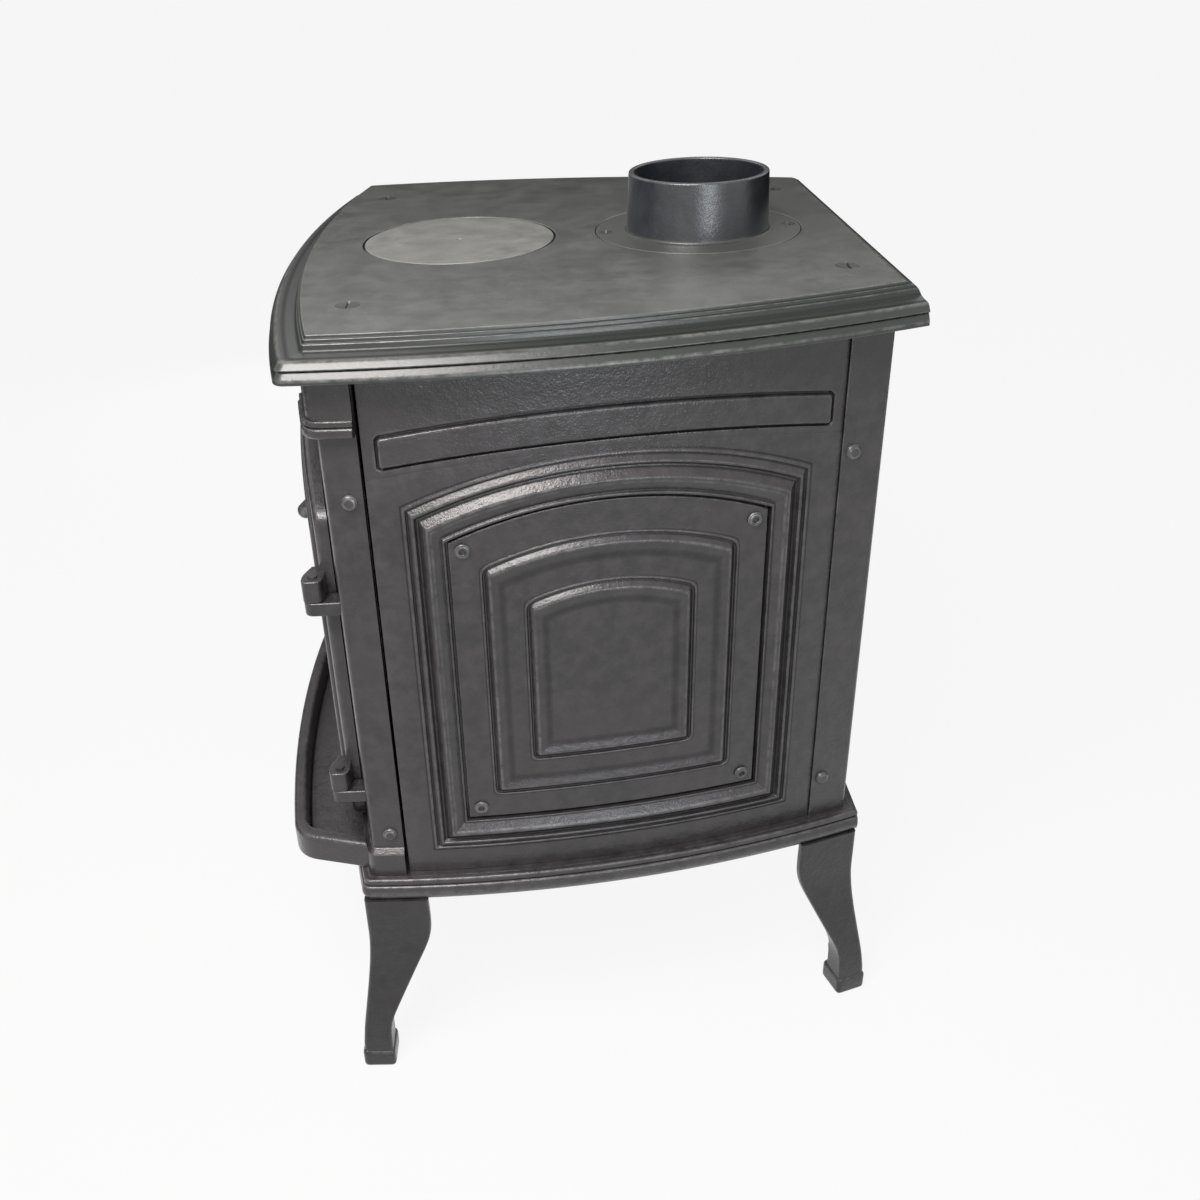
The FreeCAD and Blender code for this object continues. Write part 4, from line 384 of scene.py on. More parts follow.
@dataclass(frozen=True)
class Plan:
    """The bowed outline of the body seen from above."""

    front_width: float = 520.0
    rear_width: float = 397.0
    depth: float = 436.0
    front_bow: float = 28.0
    side_bow: float = 21.0

    @cached_property
    def front(self) -> Bow:
        """The front face."""
        half, y = self.front_width / 2, -self.depth / 2
        return Bow((-half, y), (half, y), self.front_bow)

    @cached_property
    def side(self) -> Bow:
        """The right-hand face."""
        front, rear, y = self.front_width / 2, self.rear_width / 2, self.depth / 2
        return Bow((front, -y), (rear, y), self.side_bow)

    def corner(self, grow: np.ndarray) -> np.ndarray:
        """Finds where the front and right-hand arcs cross when both are grown.

        Args:
            grow: how far the arcs lie outside the body.

        Returns:
            n x 2 places: of the two crossings of each pair of circles, the front one.
        """
        near, far = self.front.radius + grow, self.side.radius + grow
        way = self.side.centre - self.front.centre
        apart = np.linalg.norm(way)
        along = (near ** 2 - far ** 2 + apart ** 2) / (2 * apart)
        across = np.sqrt(near ** 2 - along ** 2)
        unit = way / apart
        foot = self.front.centre + along[:, None] * unit
        left = np.array([-unit[1], unit[0]])
        one, other = foot + across[:, None] * left, foot - across[:, None] * left
        return np.where(one[:, 1:] < other[:, 1:], one, other)

    def right_run(self, grow: np.ndarray, round_off: np.ndarray, end_y: np.ndarray,
                  counts: tuple[int, int, int] = (70, 9, 90)) -> np.ndarray:
        """Paths from the middle of the front, round the right-hand corner and along the side.

        Args:
            grow: how far each path lies outside the body.
            round_off: the radius of each path's corner.
            end_y: the Y where each path ends.
            counts: points on the front, the corner and the side.

        Returns:
            paths x points x 2 places.
        """
        spread = np.broadcast_arrays(grow, round_off, end_y)
        grow, round_off, end_y = (np.asarray(value, float) for value in spread)
        hub = self.corner(grow - round_off)
        from_front, from_side = hub - self.front.centre, hub - self.side.centre
        sweep = np.arctan2(from_front[:, 0], -from_front[:, 1])
        first = np.arctan2(from_front[:, 1], from_front[:, 0])
        second = np.arctan2(from_side[:, 1], from_side[:, 0])
        last = np.arcsin((end_y - self.side.centre[1]) / (self.side.radius + grow))
        share = [np.linspace(0.0, 1.0, count) for count in counts]
        angle = sweep[:, None] * share[0]
        front = self.front.centre + (self.front.radius + grow)[:, None, None] * np.stack(
            [np.sin(angle), -np.cos(angle)], axis=-1)
        angle = first[:, None] + (second - first)[:, None] * share[1]
        corner = hub[:, None] + round_off[:, None, None] * np.stack([np.cos(angle), np.sin(angle)], axis=-1)
        angle = second[:, None] + (last - second)[:, None] * share[2]
        side = self.side.centre + (self.side.radius + grow)[:, None, None] * np.stack(
            [np.cos(angle), np.sin(angle)], axis=-1)
        return np.concatenate([front[:, :-1], corner, side[:, 1:]], axis=1)

    def outline(self, grow: np.ndarray, round_off: np.ndarray, rear_y: np.ndarray,
                across: int = 40) -> np.ndarray:
        """Closed outlines: a right-hand run, a straight rear edge and the mirrored left.

        Args:
            grow: how far each outline lies outside the body.
            round_off: the radius of each outline's front corners.
            rear_y: the Y of each rear edge.
            across: points on half of a rear edge.

        Returns:
            outlines x points x 2 places.
        """
        run = self.right_run(grow, round_off, rear_y)
        share = np.linspace(1.0, 0.0, across)[1:]
        end = run[:, -1]
        rear = np.stack([end[:, :1] * share, end[:, 1:] + 0 * share], axis=-1)
        half = np.concatenate([run, rear], axis=1)
        return np.concatenate([half, (half * np.array([-1.0, 1.0]))[:, -2:0:-1]], axis=1)

    def both_runs(self, grow: np.ndarray, round_off: np.ndarray, end_y: np.ndarray) -> np.ndarray:
        """Open paths from the left side's end round the front to the right side's end."""
        run = self.right_run(grow, round_off, end_y)
        return np.concatenate([(run * np.array([-1.0, 1.0]))[:, :0:-1], run], axis=1)

    def on_side(self, flat: np.ndarray, height: np.ndarray, y_middle: float = RELIEF_Y) -> np.ndarray:
        """Lays places on the right-hand face.

        The angle on the arc comes from a place's Y, and its height moves it along the arc's radius.

        Args:
            flat: ... x 2 places: the Y from a middle line, and Z.
            height: the height of each place over the face.
            y_middle: the Y of the middle line.

        Returns:
            ... x 3 places.
        """
        sine = (flat[..., 0] + y_middle - self.side.centre[1]) / self.side.radius
        out = self.side.radius + height
        return np.stack([self.side.centre[0] + out * np.sqrt(1 - sine ** 2),
                         self.side.centre[1] + out * sine, flat[..., 1] + 0 * out], axis=-1)

    def on_front(self, flat: np.ndarray, height: np.ndarray) -> np.ndarray:
        """Lays places on the front face, as on_side() does on the right-hand one.

        Args:
            flat: ... x 2 places: X and Z.
            height: the height of each place over the face.

        Returns:
            ... x 3 places.
        """
        sine = (flat[..., 0] - self.front.centre[0]) / self.front.radius
        out = self.front.radius + height
        depth = self.front.centre[1] - out * np.sqrt(1 - sine ** 2)
        return np.stack([self.front.centre[0] + out * sine, depth, flat[..., 1] + 0 * out], axis=-1)


PLAN = Plan()


@dataclass(frozen=True)
class Arch:
    """A window-like outline: a straight foot, upright sides and a top that rises as a shallow arc."""

    half: float
    low: float
    high: float
    rise: float

    def loops(self, inset: np.ndarray, cut: np.ndarray, keep_rise: bool = False) -> np.ndarray:
        """Draws the outline in by insets.

        Args:
            inset: how far each loop is drawn in.
            cut: how far its corners are cut back.
            keep_rise: whether the top keeps its rise, rather than its shape.

        Returns:
            loops x points x 2 places.
        """
        inset, cut = np.broadcast_arrays(np.asarray(inset, float), np.asarray(cut, float))
        half = np.maximum(self.half - inset, 0.0)
        rise = self.rise * (np.ones_like(half) if keep_rise else half / self.half)
        return arch_loops(half, self.low + inset, self.high - inset, rise, cut)


def arch_loops(half: np.ndarray, low: np.ndarray, high: np.ndarray, rise: np.ndarray, cut: np.ndarray,
               counts: tuple[int, int, int, int] = (28, 30, 56, 5)) -> np.ndarray:
    """Closed arched loops, anticlockwise from the left end of the foot.

    The top is the arc through both upper corners and the point a rise above their middle. Corners are
    quadratic curves, as in rounded().

    Args:
        half: half the width of each loop.
        low: the level of its foot.
        high: the level of its upper corners.
        rise: the height of its arc over them.
        cut: how far its corners are cut back.
        counts: points on the foot, each side, the arc and each corner.

    Returns:
        loops x points x 2 places.
    """
    half, low, high, rise, cut = (np.atleast_1d(value)[:, None] * 1.0 for value in
                                  np.broadcast_arrays(half, low, high, rise, cut))
    rise = np.maximum(rise, 1e-4)
    cut = np.minimum(cut, 0.4 * np.minimum(half, high - low))
    radius = (half ** 2 + rise ** 2) / (2 * rise)
    sweep = np.arcsin(np.clip(half / radius, -1.0, 1.0))
    trimmed = sweep - cut / radius
    foot, side, arc = (np.arange(1, count + 1)[None] / (count + 1) for count in counts[:3])
    t = np.linspace(0.0, 1.0, counts[3])[None, :, None]

    def pair(u: np.ndarray, z: np.ndarray) -> np.ndarray:
        """Stacks two coordinates of one shape or spreading shapes."""
        return np.stack(np.broadcast_arrays(u, z), axis=-1)

    def on_arc(angle: np.ndarray) -> np.ndarray:
        """Places on the top's arc at an angle from upright."""
        return pair(radius * np.sin(angle), high + rise - radius + radius * np.cos(angle))

    def bend(start: np.ndarray, tip: np.ndarray, end: np.ndarray) -> np.ndarray:
        """The curve that stands for a corner."""
        return start * (1 - t) ** 2 + tip * 2 * t * (1 - t) + end * t ** 2

    tall = high - low - 2 * cut
    return np.concatenate([
        pair((half - cut) * (2 * foot - 1), low),
        bend(pair(half - cut, low), pair(half, low), pair(half, low + cut)),
        pair(half, low + cut + tall * side),
        bend(pair(half, high - cut), pair(half, high), on_arc(trimmed)),
        on_arc(trimmed * (1 - 2 * arc)),
        bend(on_arc(-trimmed), pair(-half, high), pair(-half, high - cut)),
        pair(-half, high - cut - tall * side),
        bend(pair(-half, low + cut), pair(-half, low), pair(-half + cut, low)),
    ], axis=1)


COVER_ARCH = Arch(127.0, 277.0, 548.0, 27.0)


class Signal:
    """A shader socket that takes part in sums; each sum becomes a math node."""

    def __init__(self, graph: "Graph", socket: bpy.types.NodeSocket) -> None:
        """Keeps the socket and the graph it belongs to."""
        self.graph = graph
        self.socket = socket

    def combine(self, operation: str, other: Union["Signal", float], swapped: bool = False) -> "Signal":
        """A math node over this signal and another or a number, in either order."""
        first, second = (other, self) if swapped else (self, other)
        return self.graph.node("ShaderNodeMath", {0: first, 1: second}, {"operation": operation})

    def __add__(self, other: Union["Signal", float]) -> "Signal":
        """The sum."""
        return self.combine("ADD", other)

    def __radd__(self, other: float) -> "Signal":
        """The sum, with the number first."""
        return self.combine("ADD", other, swapped=True)

    def __sub__(self, other: Union["Signal", float]) -> "Signal":
        """The difference."""
        return self.combine("SUBTRACT", other)

    def __rsub__(self, other: float) -> "Signal":
        """The difference, with the number first."""
        return self.combine("SUBTRACT", other, swapped=True)

    def __mul__(self, other: Union["Signal", float]) -> "Signal":
        """The product."""
        return self.combine("MULTIPLY", other)

    def __rmul__(self, other: float) -> "Signal":
        """The product, with the number first."""
        return self.combine("MULTIPLY", other, swapped=True)

    def ramp(self, low: float, high: float) -> "Signal":
        """A smooth step from 0 at the low value to 1 at the high one."""
        return self.graph.node("ShaderNodeMapRange", {"Value": self, "From Min": low, "From Max": high},
                               {"interpolation_type": "SMOOTHSTEP"})


class Graph:
    """The node tree of a material or of the world."""

    def __init__(self, tree: bpy.types.NodeTree) -> None:
        """Empties the tree, to build in it."""
        self.tree = tree
        self.tree.nodes.clear()

    def node(self, kind: str, inputs: Optional[dict] = None, settings: Optional[dict] = None,
             output: Union[int, str] = 0) -> Optional[Signal]:
        """Adds a node.

        Args:
            kind: the node's type.
            inputs: a value or a signal for each socket, by its name or number.
            settings: the node's own options, set first.
            output: the socket to return.

        Returns:
            The output as a signal, or None for a node that has no outputs.
        """
        made = self.tree.nodes.new(kind)
        for name, value in (settings or {}).items():
            setattr(made, name, value)
        for key, value in (inputs or {}).items():
            if isinstance(value, Signal):
                self.tree.links.new(value.socket, made.inputs[key])
            else:
                made.inputs[key].default_value = value
        return Signal(self, made.outputs[output]) if made.outputs else None

    def place(self, stretch: Sequence[float] = (1.0, 1.0, 1.0)) -> Signal:
        """Object coordinates, stretched along the axes."""
        spot = self.node("ShaderNodeTexCoord", output="Object")
        return self.node("ShaderNodeMapping", {"Vector": spot, "Scale": tuple(stretch)})

    def noise(self, place: Signal, scale: float, detail: float = 3.0, rough: float = 0.55) -> Signal:
        """Cloudy noise from 0 to 1, with a number of cells to the metre."""
        return self.node("ShaderNodeTexNoise", {"Vector": place, "Scale": scale, "Detail": detail,
                                                "Roughness": rough})

    def mix(self, share: Union[Signal, float], first: Union[Signal, Colour],
            second: Union[Signal, Colour]) -> Signal:
        """Mixes two colours.

        Args:
            share: how much of the second, from 0 to 1.
            first: a colour, or a signal that carries one.
            second: the same.

        Returns:
            The mixed colour.
        """
        ends = {6: first, 7: second}
        ends = {key: value if isinstance(value, Signal) else (*value, 1.0) for key, value in ends.items()}
        return self.node("ShaderNodeMix", {0: share, **ends}, {"data_type": "RGBA"}, output=2)

    def bump(self, height: Signal, strength: float, distance: float) -> Signal:
        """The normal of a surface raised by a height."""
        return self.node("ShaderNodeBump", {"Strength": strength, "Distance": distance, "Height": height},
                         output="Normal")


def shaded(name: str, build: Callable[[Graph], Signal]) -> bpy.types.Material:
    """Makes a material.

    Args:
        name: its name.
        build: adds the nodes to a graph and returns the shader.

    Returns:
        The material.
    """
    material = bpy.data.materials.new(name)
    material.use_nodes = True
    graph = Graph(material.node_tree)
    graph.node("ShaderNodeOutputMaterial", {"Surface": build(graph)})
    return material


@dataclass(frozen=True)
class Finish:
    """A finish made once and shared."""

    name: str

    def material(self) -> bpy.types.Material:
        """The material, made at its first use."""
        title = f"{self.name}_finish"
        return bpy.data.materials.get(title) or shaded(title, self.shader)

    def shader(self, graph: Graph) -> Signal:
        """Builds the nodes in a graph and returns the shader."""
        raise NotImplementedError


@dataclass(frozen=True)
class Iron(Finish):
    """Cast or bare metal: clouded colour, a sand-cast grain, crests rubbed lighter, and painted shade in
    grooves.

    Below flank_below, a level in millimetres, the colour is the flank's. The coat is a polish, taken away in
    the grooves so that they reflect less, as part of the painted groove shade.
    """

    dark: Colour = (0.017, 0.0155, 0.0168)
    light: Colour = (0.036, 0.0328, 0.0352)
    tint: Colour = (0.035, 0.0282, 0.0312)
    rubbed: Colour = (0.24, 0.235, 0.235)
    groove_shade: Colour = (0.004, 0.004, 0.004)
    flank: Colour = (0.0, 0.0, 0.0)
    flank_below: float = 0.0
    rough: float = 0.31
    rough_spread: float = 0.10
    grain_scale: float = 620.0
    grain_height: float = 0.00030
    cloud_scale: float = 70.0
    streak: tuple[float, float, float] = (1.0, 1.0, 1.0)
    streak_share: float = 0.0
    wear: float = 0.40
    metal: float = 0.0
    specular: float = 0.28
    coat: float = 0.75

    def shader(self, graph: Graph) -> Signal:
        """Mixes the dark and light colours by clouds and streaks, tints them, rubs the crests, paints groove
        shade.

        Args:
            graph: the material's graph.

        Returns:
            The shader.
        """
        place = graph.place()
        grain = graph.noise(place, self.grain_scale, 3.0, 0.6)
        pebble = graph.noise(place, self.grain_scale * 0.33, 2.0, 0.5)
        cloud = graph.noise(place, self.cloud_scale, 5.0, 0.62)
        broad = graph.noise(place, 7.0, 3.0, 0.5)
        brushed = graph.noise(graph.place(self.streak), self.cloud_scale * 1.6, 4.0, 0.6)
        tone = cloud * (1.0 - self.streak_share) + brushed * self.streak_share
        colour = graph.mix(tone.ramp(0.30, 0.72), self.dark, self.light)
        colour = graph.mix(broad.ramp(0.42, 0.70) * 0.6, colour, self.tint)
        colour = graph.mix(grain.ramp(0.52, 0.74) * 0.5, colour, self.dark)
        if self.flank_below:
            level = graph.node("ShaderNodeSeparateXYZ", {"Vector": place}, output="Z")
            below = self.flank_below * MM
            colour = graph.mix(level.ramp(below - 1.2 * MM, below), self.flank, colour)
        crest = graph.node("ShaderNodeAttribute", None, {"attribute_name": "crest"}, output="Fac")
        patchy = graph.noise(place, 110.0, 4.0, 0.6).ramp(0.30, 0.66) * (broad.ramp(0.30, 0.62) * 0.6 + 0.4)
        worn = crest.combine("MAXIMUM", 0.0) * patchy * self.wear
        # Painted shade: where the crest is below zero, in grooves, the colour darkens towards groove_shade
        # and the coat falls away.
        groove_shade_share = (0.0 - crest).combine("MAXIMUM", 0.0)
        colour = graph.mix(worn, colour, self.rubbed)
        colour = graph.mix(groove_shade_share * 0.55, colour, self.groove_shade)
        rough = self.rough + (tone - 0.5) * self.rough_spread + (grain - 0.5) * 0.10 - worn * 0.10
        relief = grain * 0.45 + pebble * 0.55
        bump = graph.bump(relief, 0.55, self.grain_height * 4)
        return graph.node("ShaderNodeBsdfPrincipled", {
            "Base Color": colour, "Roughness": rough, "Metallic": worn * 0.5 + self.metal,
            "Specular IOR Level": self.specular, "Normal": bump, "Coat Normal": bump,
            "Coat Weight": (1.0 - groove_shade_share) * self.coat, "Coat Roughness": self.rough - 0.04})


@dataclass(frozen=True)
class Glass(Finish):
    """Heat-proof glass, clouded by smoke."""

    def shader(self, graph: Graph) -> Signal:
        """Lays clouds of smoke on a tinted sheet that is part see-through.

        Args:
            graph: the material's graph.

        Returns:
            The shader.
        """
        smoke = graph.noise(graph.place(), 14.0, 4.0, 0.6)
        colour = graph.mix(smoke, (0.10, 0.085, 0.07), (0.05, 0.045, 0.04))
        rough = smoke * 0.10 + 0.04
        return graph.node("ShaderNodeBsdfPrincipled", {
            "Base Color": colour, "Roughness": rough, "Alpha": smoke.ramp(0.30, 0.75) * 0.35 + 0.30,
            "IOR": 1.5})


@dataclass(frozen=True)
class Rope(Finish):
    """Plaited glass fibre, greyed by ash."""

    def shader(self, graph: Graph) -> Signal:
        """Draws slanting waves for the plait, with soot in clouds.

        Args:
            graph: the material's graph.

        Returns:
            The shader.
        """
        place = graph.place()
        waves = {"Vector": place, "Scale": 55.0, "Distortion": 3.0, "Detail": 2.0}
        plait = graph.node("ShaderNodeTexWave", waves, {"bands_direction": "DIAGONAL"}, output="Fac")
        soot = graph.noise(place, 40.0, 4.0)
        colour = graph.mix(soot.ramp(0.35, 0.70), (0.34, 0.32, 0.29), (0.16, 0.15, 0.14))
        return graph.node("ShaderNodeBsdfPrincipled", {
            "Base Color": colour, "Roughness": 0.9 - plait * 0.1, "Normal": graph.bump(plait, 0.5, MM)})


@dataclass(frozen=True)
class Brick(Finish):
    """Pressed vermiculite board, flecked and sooted."""

    def shader(self, graph: Graph) -> Signal:
        """Draws flecks by a fine cell pattern and soot by broad clouds.

        Args:
            graph: the material's graph.

        Returns:
            The shader.
        """
        place = graph.place()
        fleck = graph.node("ShaderNodeTexVoronoi", {"Vector": place, "Scale": 300.0}, output="Distance")
        soot = graph.noise(place, 11.0, 4.0, 0.6)
        colour = graph.mix(fleck, (0.40, 0.33, 0.25), (0.56, 0.48, 0.38))
        colour = graph.mix(soot.ramp(0.38, 0.66) * 0.8, colour, (0.06, 0.055, 0.05))
        return graph.node("ShaderNodeBsdfPrincipled", {
            "Base Color": colour, "Roughness": 0.95 - fleck * 0.1, "Normal": graph.bump(fleck, 0.6, MM)})


BODY_IRON = Iron("body_iron")
LEG_IRON = Iron("leg_iron", dark=(0.013, 0.012, 0.013), light=(0.026, 0.024, 0.0255),
                tint=(0.024, 0.020, 0.022), coat=0.45)
DOOR_IRON = Iron("door_iron")
TOP_IRON = Iron("top_iron", dark=(0.036, 0.039, 0.036), light=(0.098, 0.102, 0.097),
                tint=(0.056, 0.060, 0.052), rough=0.36, grain_scale=900.0, grain_height=0.00009,
                cloud_scale=34.0, streak=(1.0, 0.4, 1.0), streak_share=0.3, wear=0.4,
                rubbed=(0.30, 0.30, 0.29), flank=(0.017, 0.020, 0.018), flank_below=COOK_Z - 0.2)
HOTPLATE_IRON = Iron("hotplate_iron", dark=(0.110, 0.113, 0.108), light=(0.235, 0.238, 0.228),
                     tint=(0.165, 0.167, 0.152), rough=0.42, grain_scale=900.0, grain_height=0.00009,
                     cloud_scale=36.0, streak=(1.0, 0.4, 1.0), streak_share=0.3, wear=0.3,
                     rubbed=(0.36, 0.36, 0.34), coat=0.3)
COLLAR_IRON = Iron("collar_iron", dark=(0.008, 0.009, 0.012), light=(0.018, 0.020, 0.025),
                   tint=(0.013, 0.014, 0.018), rough=0.36, grain_height=0.00012, specular=0.6, wear=0.2,
                   flank=(0.046, 0.049, 0.045), flank_below=COOK_Z + 3.0)
FIRE_IRON = Iron("fire_iron", dark=(0.030, 0.026, 0.023), light=(0.090, 0.075, 0.062), rough=0.75, wear=0.2,
                 coat=0.0)
FASTENER = Iron("black_fasteners", dark=(0.014, 0.014, 0.015), light=(0.050, 0.050, 0.052), rough=0.36,
                grain_height=0.00008, wear=0.8)
STEEL = Iron("bright_steel", dark=(0.26, 0.26, 0.25), light=(0.42, 0.42, 0.40), rough=0.34, metal=0.9,
             grain_height=0.00004, cloud_scale=160.0, coat=0.0)
DULL_STEEL = Iron("dull_steel", dark=(0.035, 0.035, 0.035), light=(0.10, 0.10, 0.095), rough=0.32, metal=0.5,
                  grain_height=0.00004, coat=0.0)
HANDLE_IRON = Iron("handle_iron", wear=0.9, rough=0.36)
SHEET_STEEL = Iron("sheet_steel", dark=(0.030, 0.030, 0.030), light=(0.085, 0.085, 0.083), rough=0.5,
                   grain_height=0.00005, coat=0.0)
GLASS = Glass("window_glass")
ROPE = Rope("seal_rope")
BRICK = Brick("firebrick")

CAD_FINISHES: dict[Finish, tuple[str, ...]] = {
    FIRE_IRON: ("grate_bed", "grate", "baffle", "log_guard"),
    FASTENER: ("leg_bolts", "lip_bolts", "collar_screws", "tie_rods", "tie_rod_nuts"),
    DULL_STEEL: ("hinge_pins",),
    STEEL: ("handle_spindle", "latch_tongue", "spindle_nut", "ring_screws", "glass_ring"),
    HANDLE_IRON: ("air_knob",),
    SHEET_STEEL: ("ash_pan", "air_slide", "slide_guides"),
    GLASS: ("door_glass",),
    ROPE: ("door_rope", "glass_gasket"),
    BRICK: ("side_brick_right", "side_brick_left", "rear_brick"),
}


def packed_shift() -> Vector:
    """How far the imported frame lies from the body's own, from the hotplate's middle."""
    low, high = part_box("hotplate")
    return Vector((0.0, (low.y + high.y) / 2 / MM - HOTPLATE_Y, 0.0))


@dataclass(frozen=True)
class Fitting:
    """Where a piece belongs: its name, body, material slot, the nodes it stands for and its finish."""

    name: str
    body: Body
    slot: str
    nodes: tuple[str, ...]
    finish: Finish

    def place(self, surface: Surface) -> bpy.types.Object:
        """Makes the mesh, merges its seams and poles, turns its faces outwards and fits it to the model.

        Args:
            surface: the closed surface, in millimetres.

        Returns:
            The piece.
        """
        mesh = bpy.data.meshes.new(self.name)
        places = (surface.points + np.array(packed_shift())) * MM
        mesh.from_pydata(places.tolist(), [], [row for face in surface.faces for row in face.tolist()])
        # The crest attribute carries rubbed wear above zero and painted groove shade below zero.
        rubbed = mesh.attributes.new("crest", "FLOAT", "POINT")
        rubbed.data.foreach_set("value", surface.crest.astype(np.float32))
        shape = bmesh.new()
        shape.from_mesh(mesh)
        bmesh.ops.remove_doubles(shape, verts=shape.verts, dist=MERGE * MM)
        bmesh.ops.recalc_face_normals(shape, faces=shape.faces)
        shape.to_mesh(mesh)
        shape.free()
        mesh.shade_smooth()
        mesh.set_sharp_from_angle(angle=math.radians(SHARP_ANGLE))
        mesh.materials.append(self.finish.material())
        piece = bpy.data.objects.new(self.name, mesh)
        bpy.context.scene.collection.objects.link(piece)
        soft = piece.modifiers.new("even_normals", "WEIGHTED_NORMAL")
        soft.keep_sharp = True
        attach(piece, self.body.value)
        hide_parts(*self.nodes)
        log.info("%s: %d faces", self.name, len(mesh.polygons))
        return piece


def edge_rounds(grow: np.ndarray, rounds: tuple[float, float]) -> np.ndarray:
    """Corner radii for the rows of an edge, from one at its root to another where it reaches furthest."""
    return rounds[0] + (rounds[1] - rounds[0]) * np.clip(grow / grow.max(), 0.0, 1.0)


@dataclass(frozen=True)
class TopPlate:
    """The moulded top with its two round openings and four countersinks."""

    rear_reach: float = 18.0
    rear_round: float = 16.0
    hotplate_hole: float = 85.8
    hotplate_ledge: float = 9.0
    flue_hole: float = 90.6
    flue_ledge: float = 18.0
    rebate: float = 5.0
    edge_soften: float = 0.9
    tie_spots: tuple[tuple[float, float], ...] = (
        (190.0, -195.0), (-190.0, -195.0), (147.0, 192.0), (-147.0, 192.0))
    tie_head: float = 9.4
    tie_hole: float = 4.4
    corner_rounds: tuple[float, float] = (2.0, 9.0)

    def edge(self) -> tuple[np.ndarray, np.ndarray]:
        """The edge's profile from the plateau's rim: two thin steps, a cove and two beads."""
        return rounded([
            (-9.0, 0.0, 0.0), (0.0, 0.0, 0.7), (0.35, -2.4, 0.5), (1.9, -2.8, 0.6), (2.2, -5.4, 0.6),
            (3.6, -6.0, 0.8), (4.2, -11.2, 4.0), (14.5, -12.4, 2.5), (20.6, -11.9, 2.6), (25.2, -17.4, 1.6),
            (24.6, -18.4, 0.5), (22.0, -18.9, 0.4), (23.4, -19.4, 0.8), (26.9, -24.6, 2.0),
            (27.0, -28.0, 1.2), (19.0, -28.0, 1.0), (3.6, -28.0, 0.8), (3.6, -10.0, 0.0)], convex=1.0)

    def build(self) -> Surface:
        """Sweeps the edge round the plan, fills the plateau and its underside, and lines the openings.

        Returns:
            The closed surface.
        """
        profile, crest = self.edge()
        grow, drop = profile[:, 0], profile[:, 1]
        dip = np.maximum(self.rear_round + drop, 0.0)
        outer = np.arange(len(grow)) <= np.argmax(drop <= drop.min() + 1e-6)
        rear_y = np.where(outer, REAR_Y + self.rear_reach - self.rear_round
                          + np.sqrt(np.maximum(self.rear_round ** 2 - dip ** 2, 0.0)), REAR_Y - 3.0)
        loops = PLAN.outline(grow, edge_rounds(grow, self.corner_rounds), rear_y)
        rim = Surface.grid(lifted(loops, COOK_Z + drop), crest[:, None], wrap_columns=True)
        holes = [(self.hotplate_hole, self.hotplate_ledge, (0.0, HOTPLATE_Y)),
                 (self.flue_hole, self.flue_ledge, (0.0, FLUE_Y))]
        soften, seat, underside = self.edge_soften, -self.rebate, ROOF_Z - COOK_Z
        linings = []
        for radius, ledge, middle in holes:
            wall, rubbed = rounded([
                (radius + 2 * soften, 0.0, 0.0), (radius, 0.0, soften), (radius, seat, 0.3),
                (radius - ledge, seat, 0.3), (radius - ledge, underside, 0.0)], convex=-1.0)
            linings.append(Surface.turned(wall, rubbed).moved((*middle, COOK_Z)))
        for spot in self.tie_spots:
            cone = np.array([(self.tie_head, 0.0), (self.tie_hole, seat), (self.tie_hole, underside)])
            linings.append(Surface.turned(cone, segments=48).moved((*spot, COOK_Z)))
        above = [loops[0]] + [ring(radius + 2 * soften, middle) for radius, _, middle in holes]
        above += [ring(self.tie_head, spot, 48) for spot in self.tie_spots]
        under = [loops[-1]] + [ring(radius - ledge, middle) for radius, ledge, middle in holes]
        under += [ring(self.tie_hole, spot, 48) for spot in self.tie_spots]
        return Surface.joined(rim, Surface.flat(above, COOK_Z), Surface.flat(under, ROOF_Z), *linings)

    def dress(self) -> None:
        """Places the plate."""
        Fitting("top", Body.STOVE, "top_iron", ("top_plate",), TOP_IRON).place(self.build())


@dataclass(frozen=True)
class Hotplate:
    """The loose disc, with a lifting pip in its middle."""

    radius: float = 84.0
    boss_drop: float = 11.0
    seat: float = 5.0
    ledge: float = 9.0
    pip: float = 2.6
    pip_depth: float = 1.6

    def dress(self) -> None:
        """Turns the disc's profile and places it."""
        inner = self.radius - self.ledge - 1.5
        profile, crest = rounded([
            (0.0, -self.pip_depth, 0.0), (self.pip - 0.5, -self.pip_depth, 0.3), (self.pip, 0.0, 0.4),
            (self.radius, 0.0, 1.1), (self.radius, -self.seat, 0.4), (inner, -self.seat, 0.4),
            (inner, -self.boss_drop, 0.8), (0.0, -self.boss_drop, 0.0)], convex=1.0)
        profile, crest = finer(profile, crest, 12.0)
        surface = Surface.turned(profile, crest).moved((0.0, HOTPLATE_Y, COOK_Z))
        Fitting("hotplate_disc", Body.HOTPLATE, "hotplate_iron", ("hotplate",), HOTPLATE_IRON).place(surface)


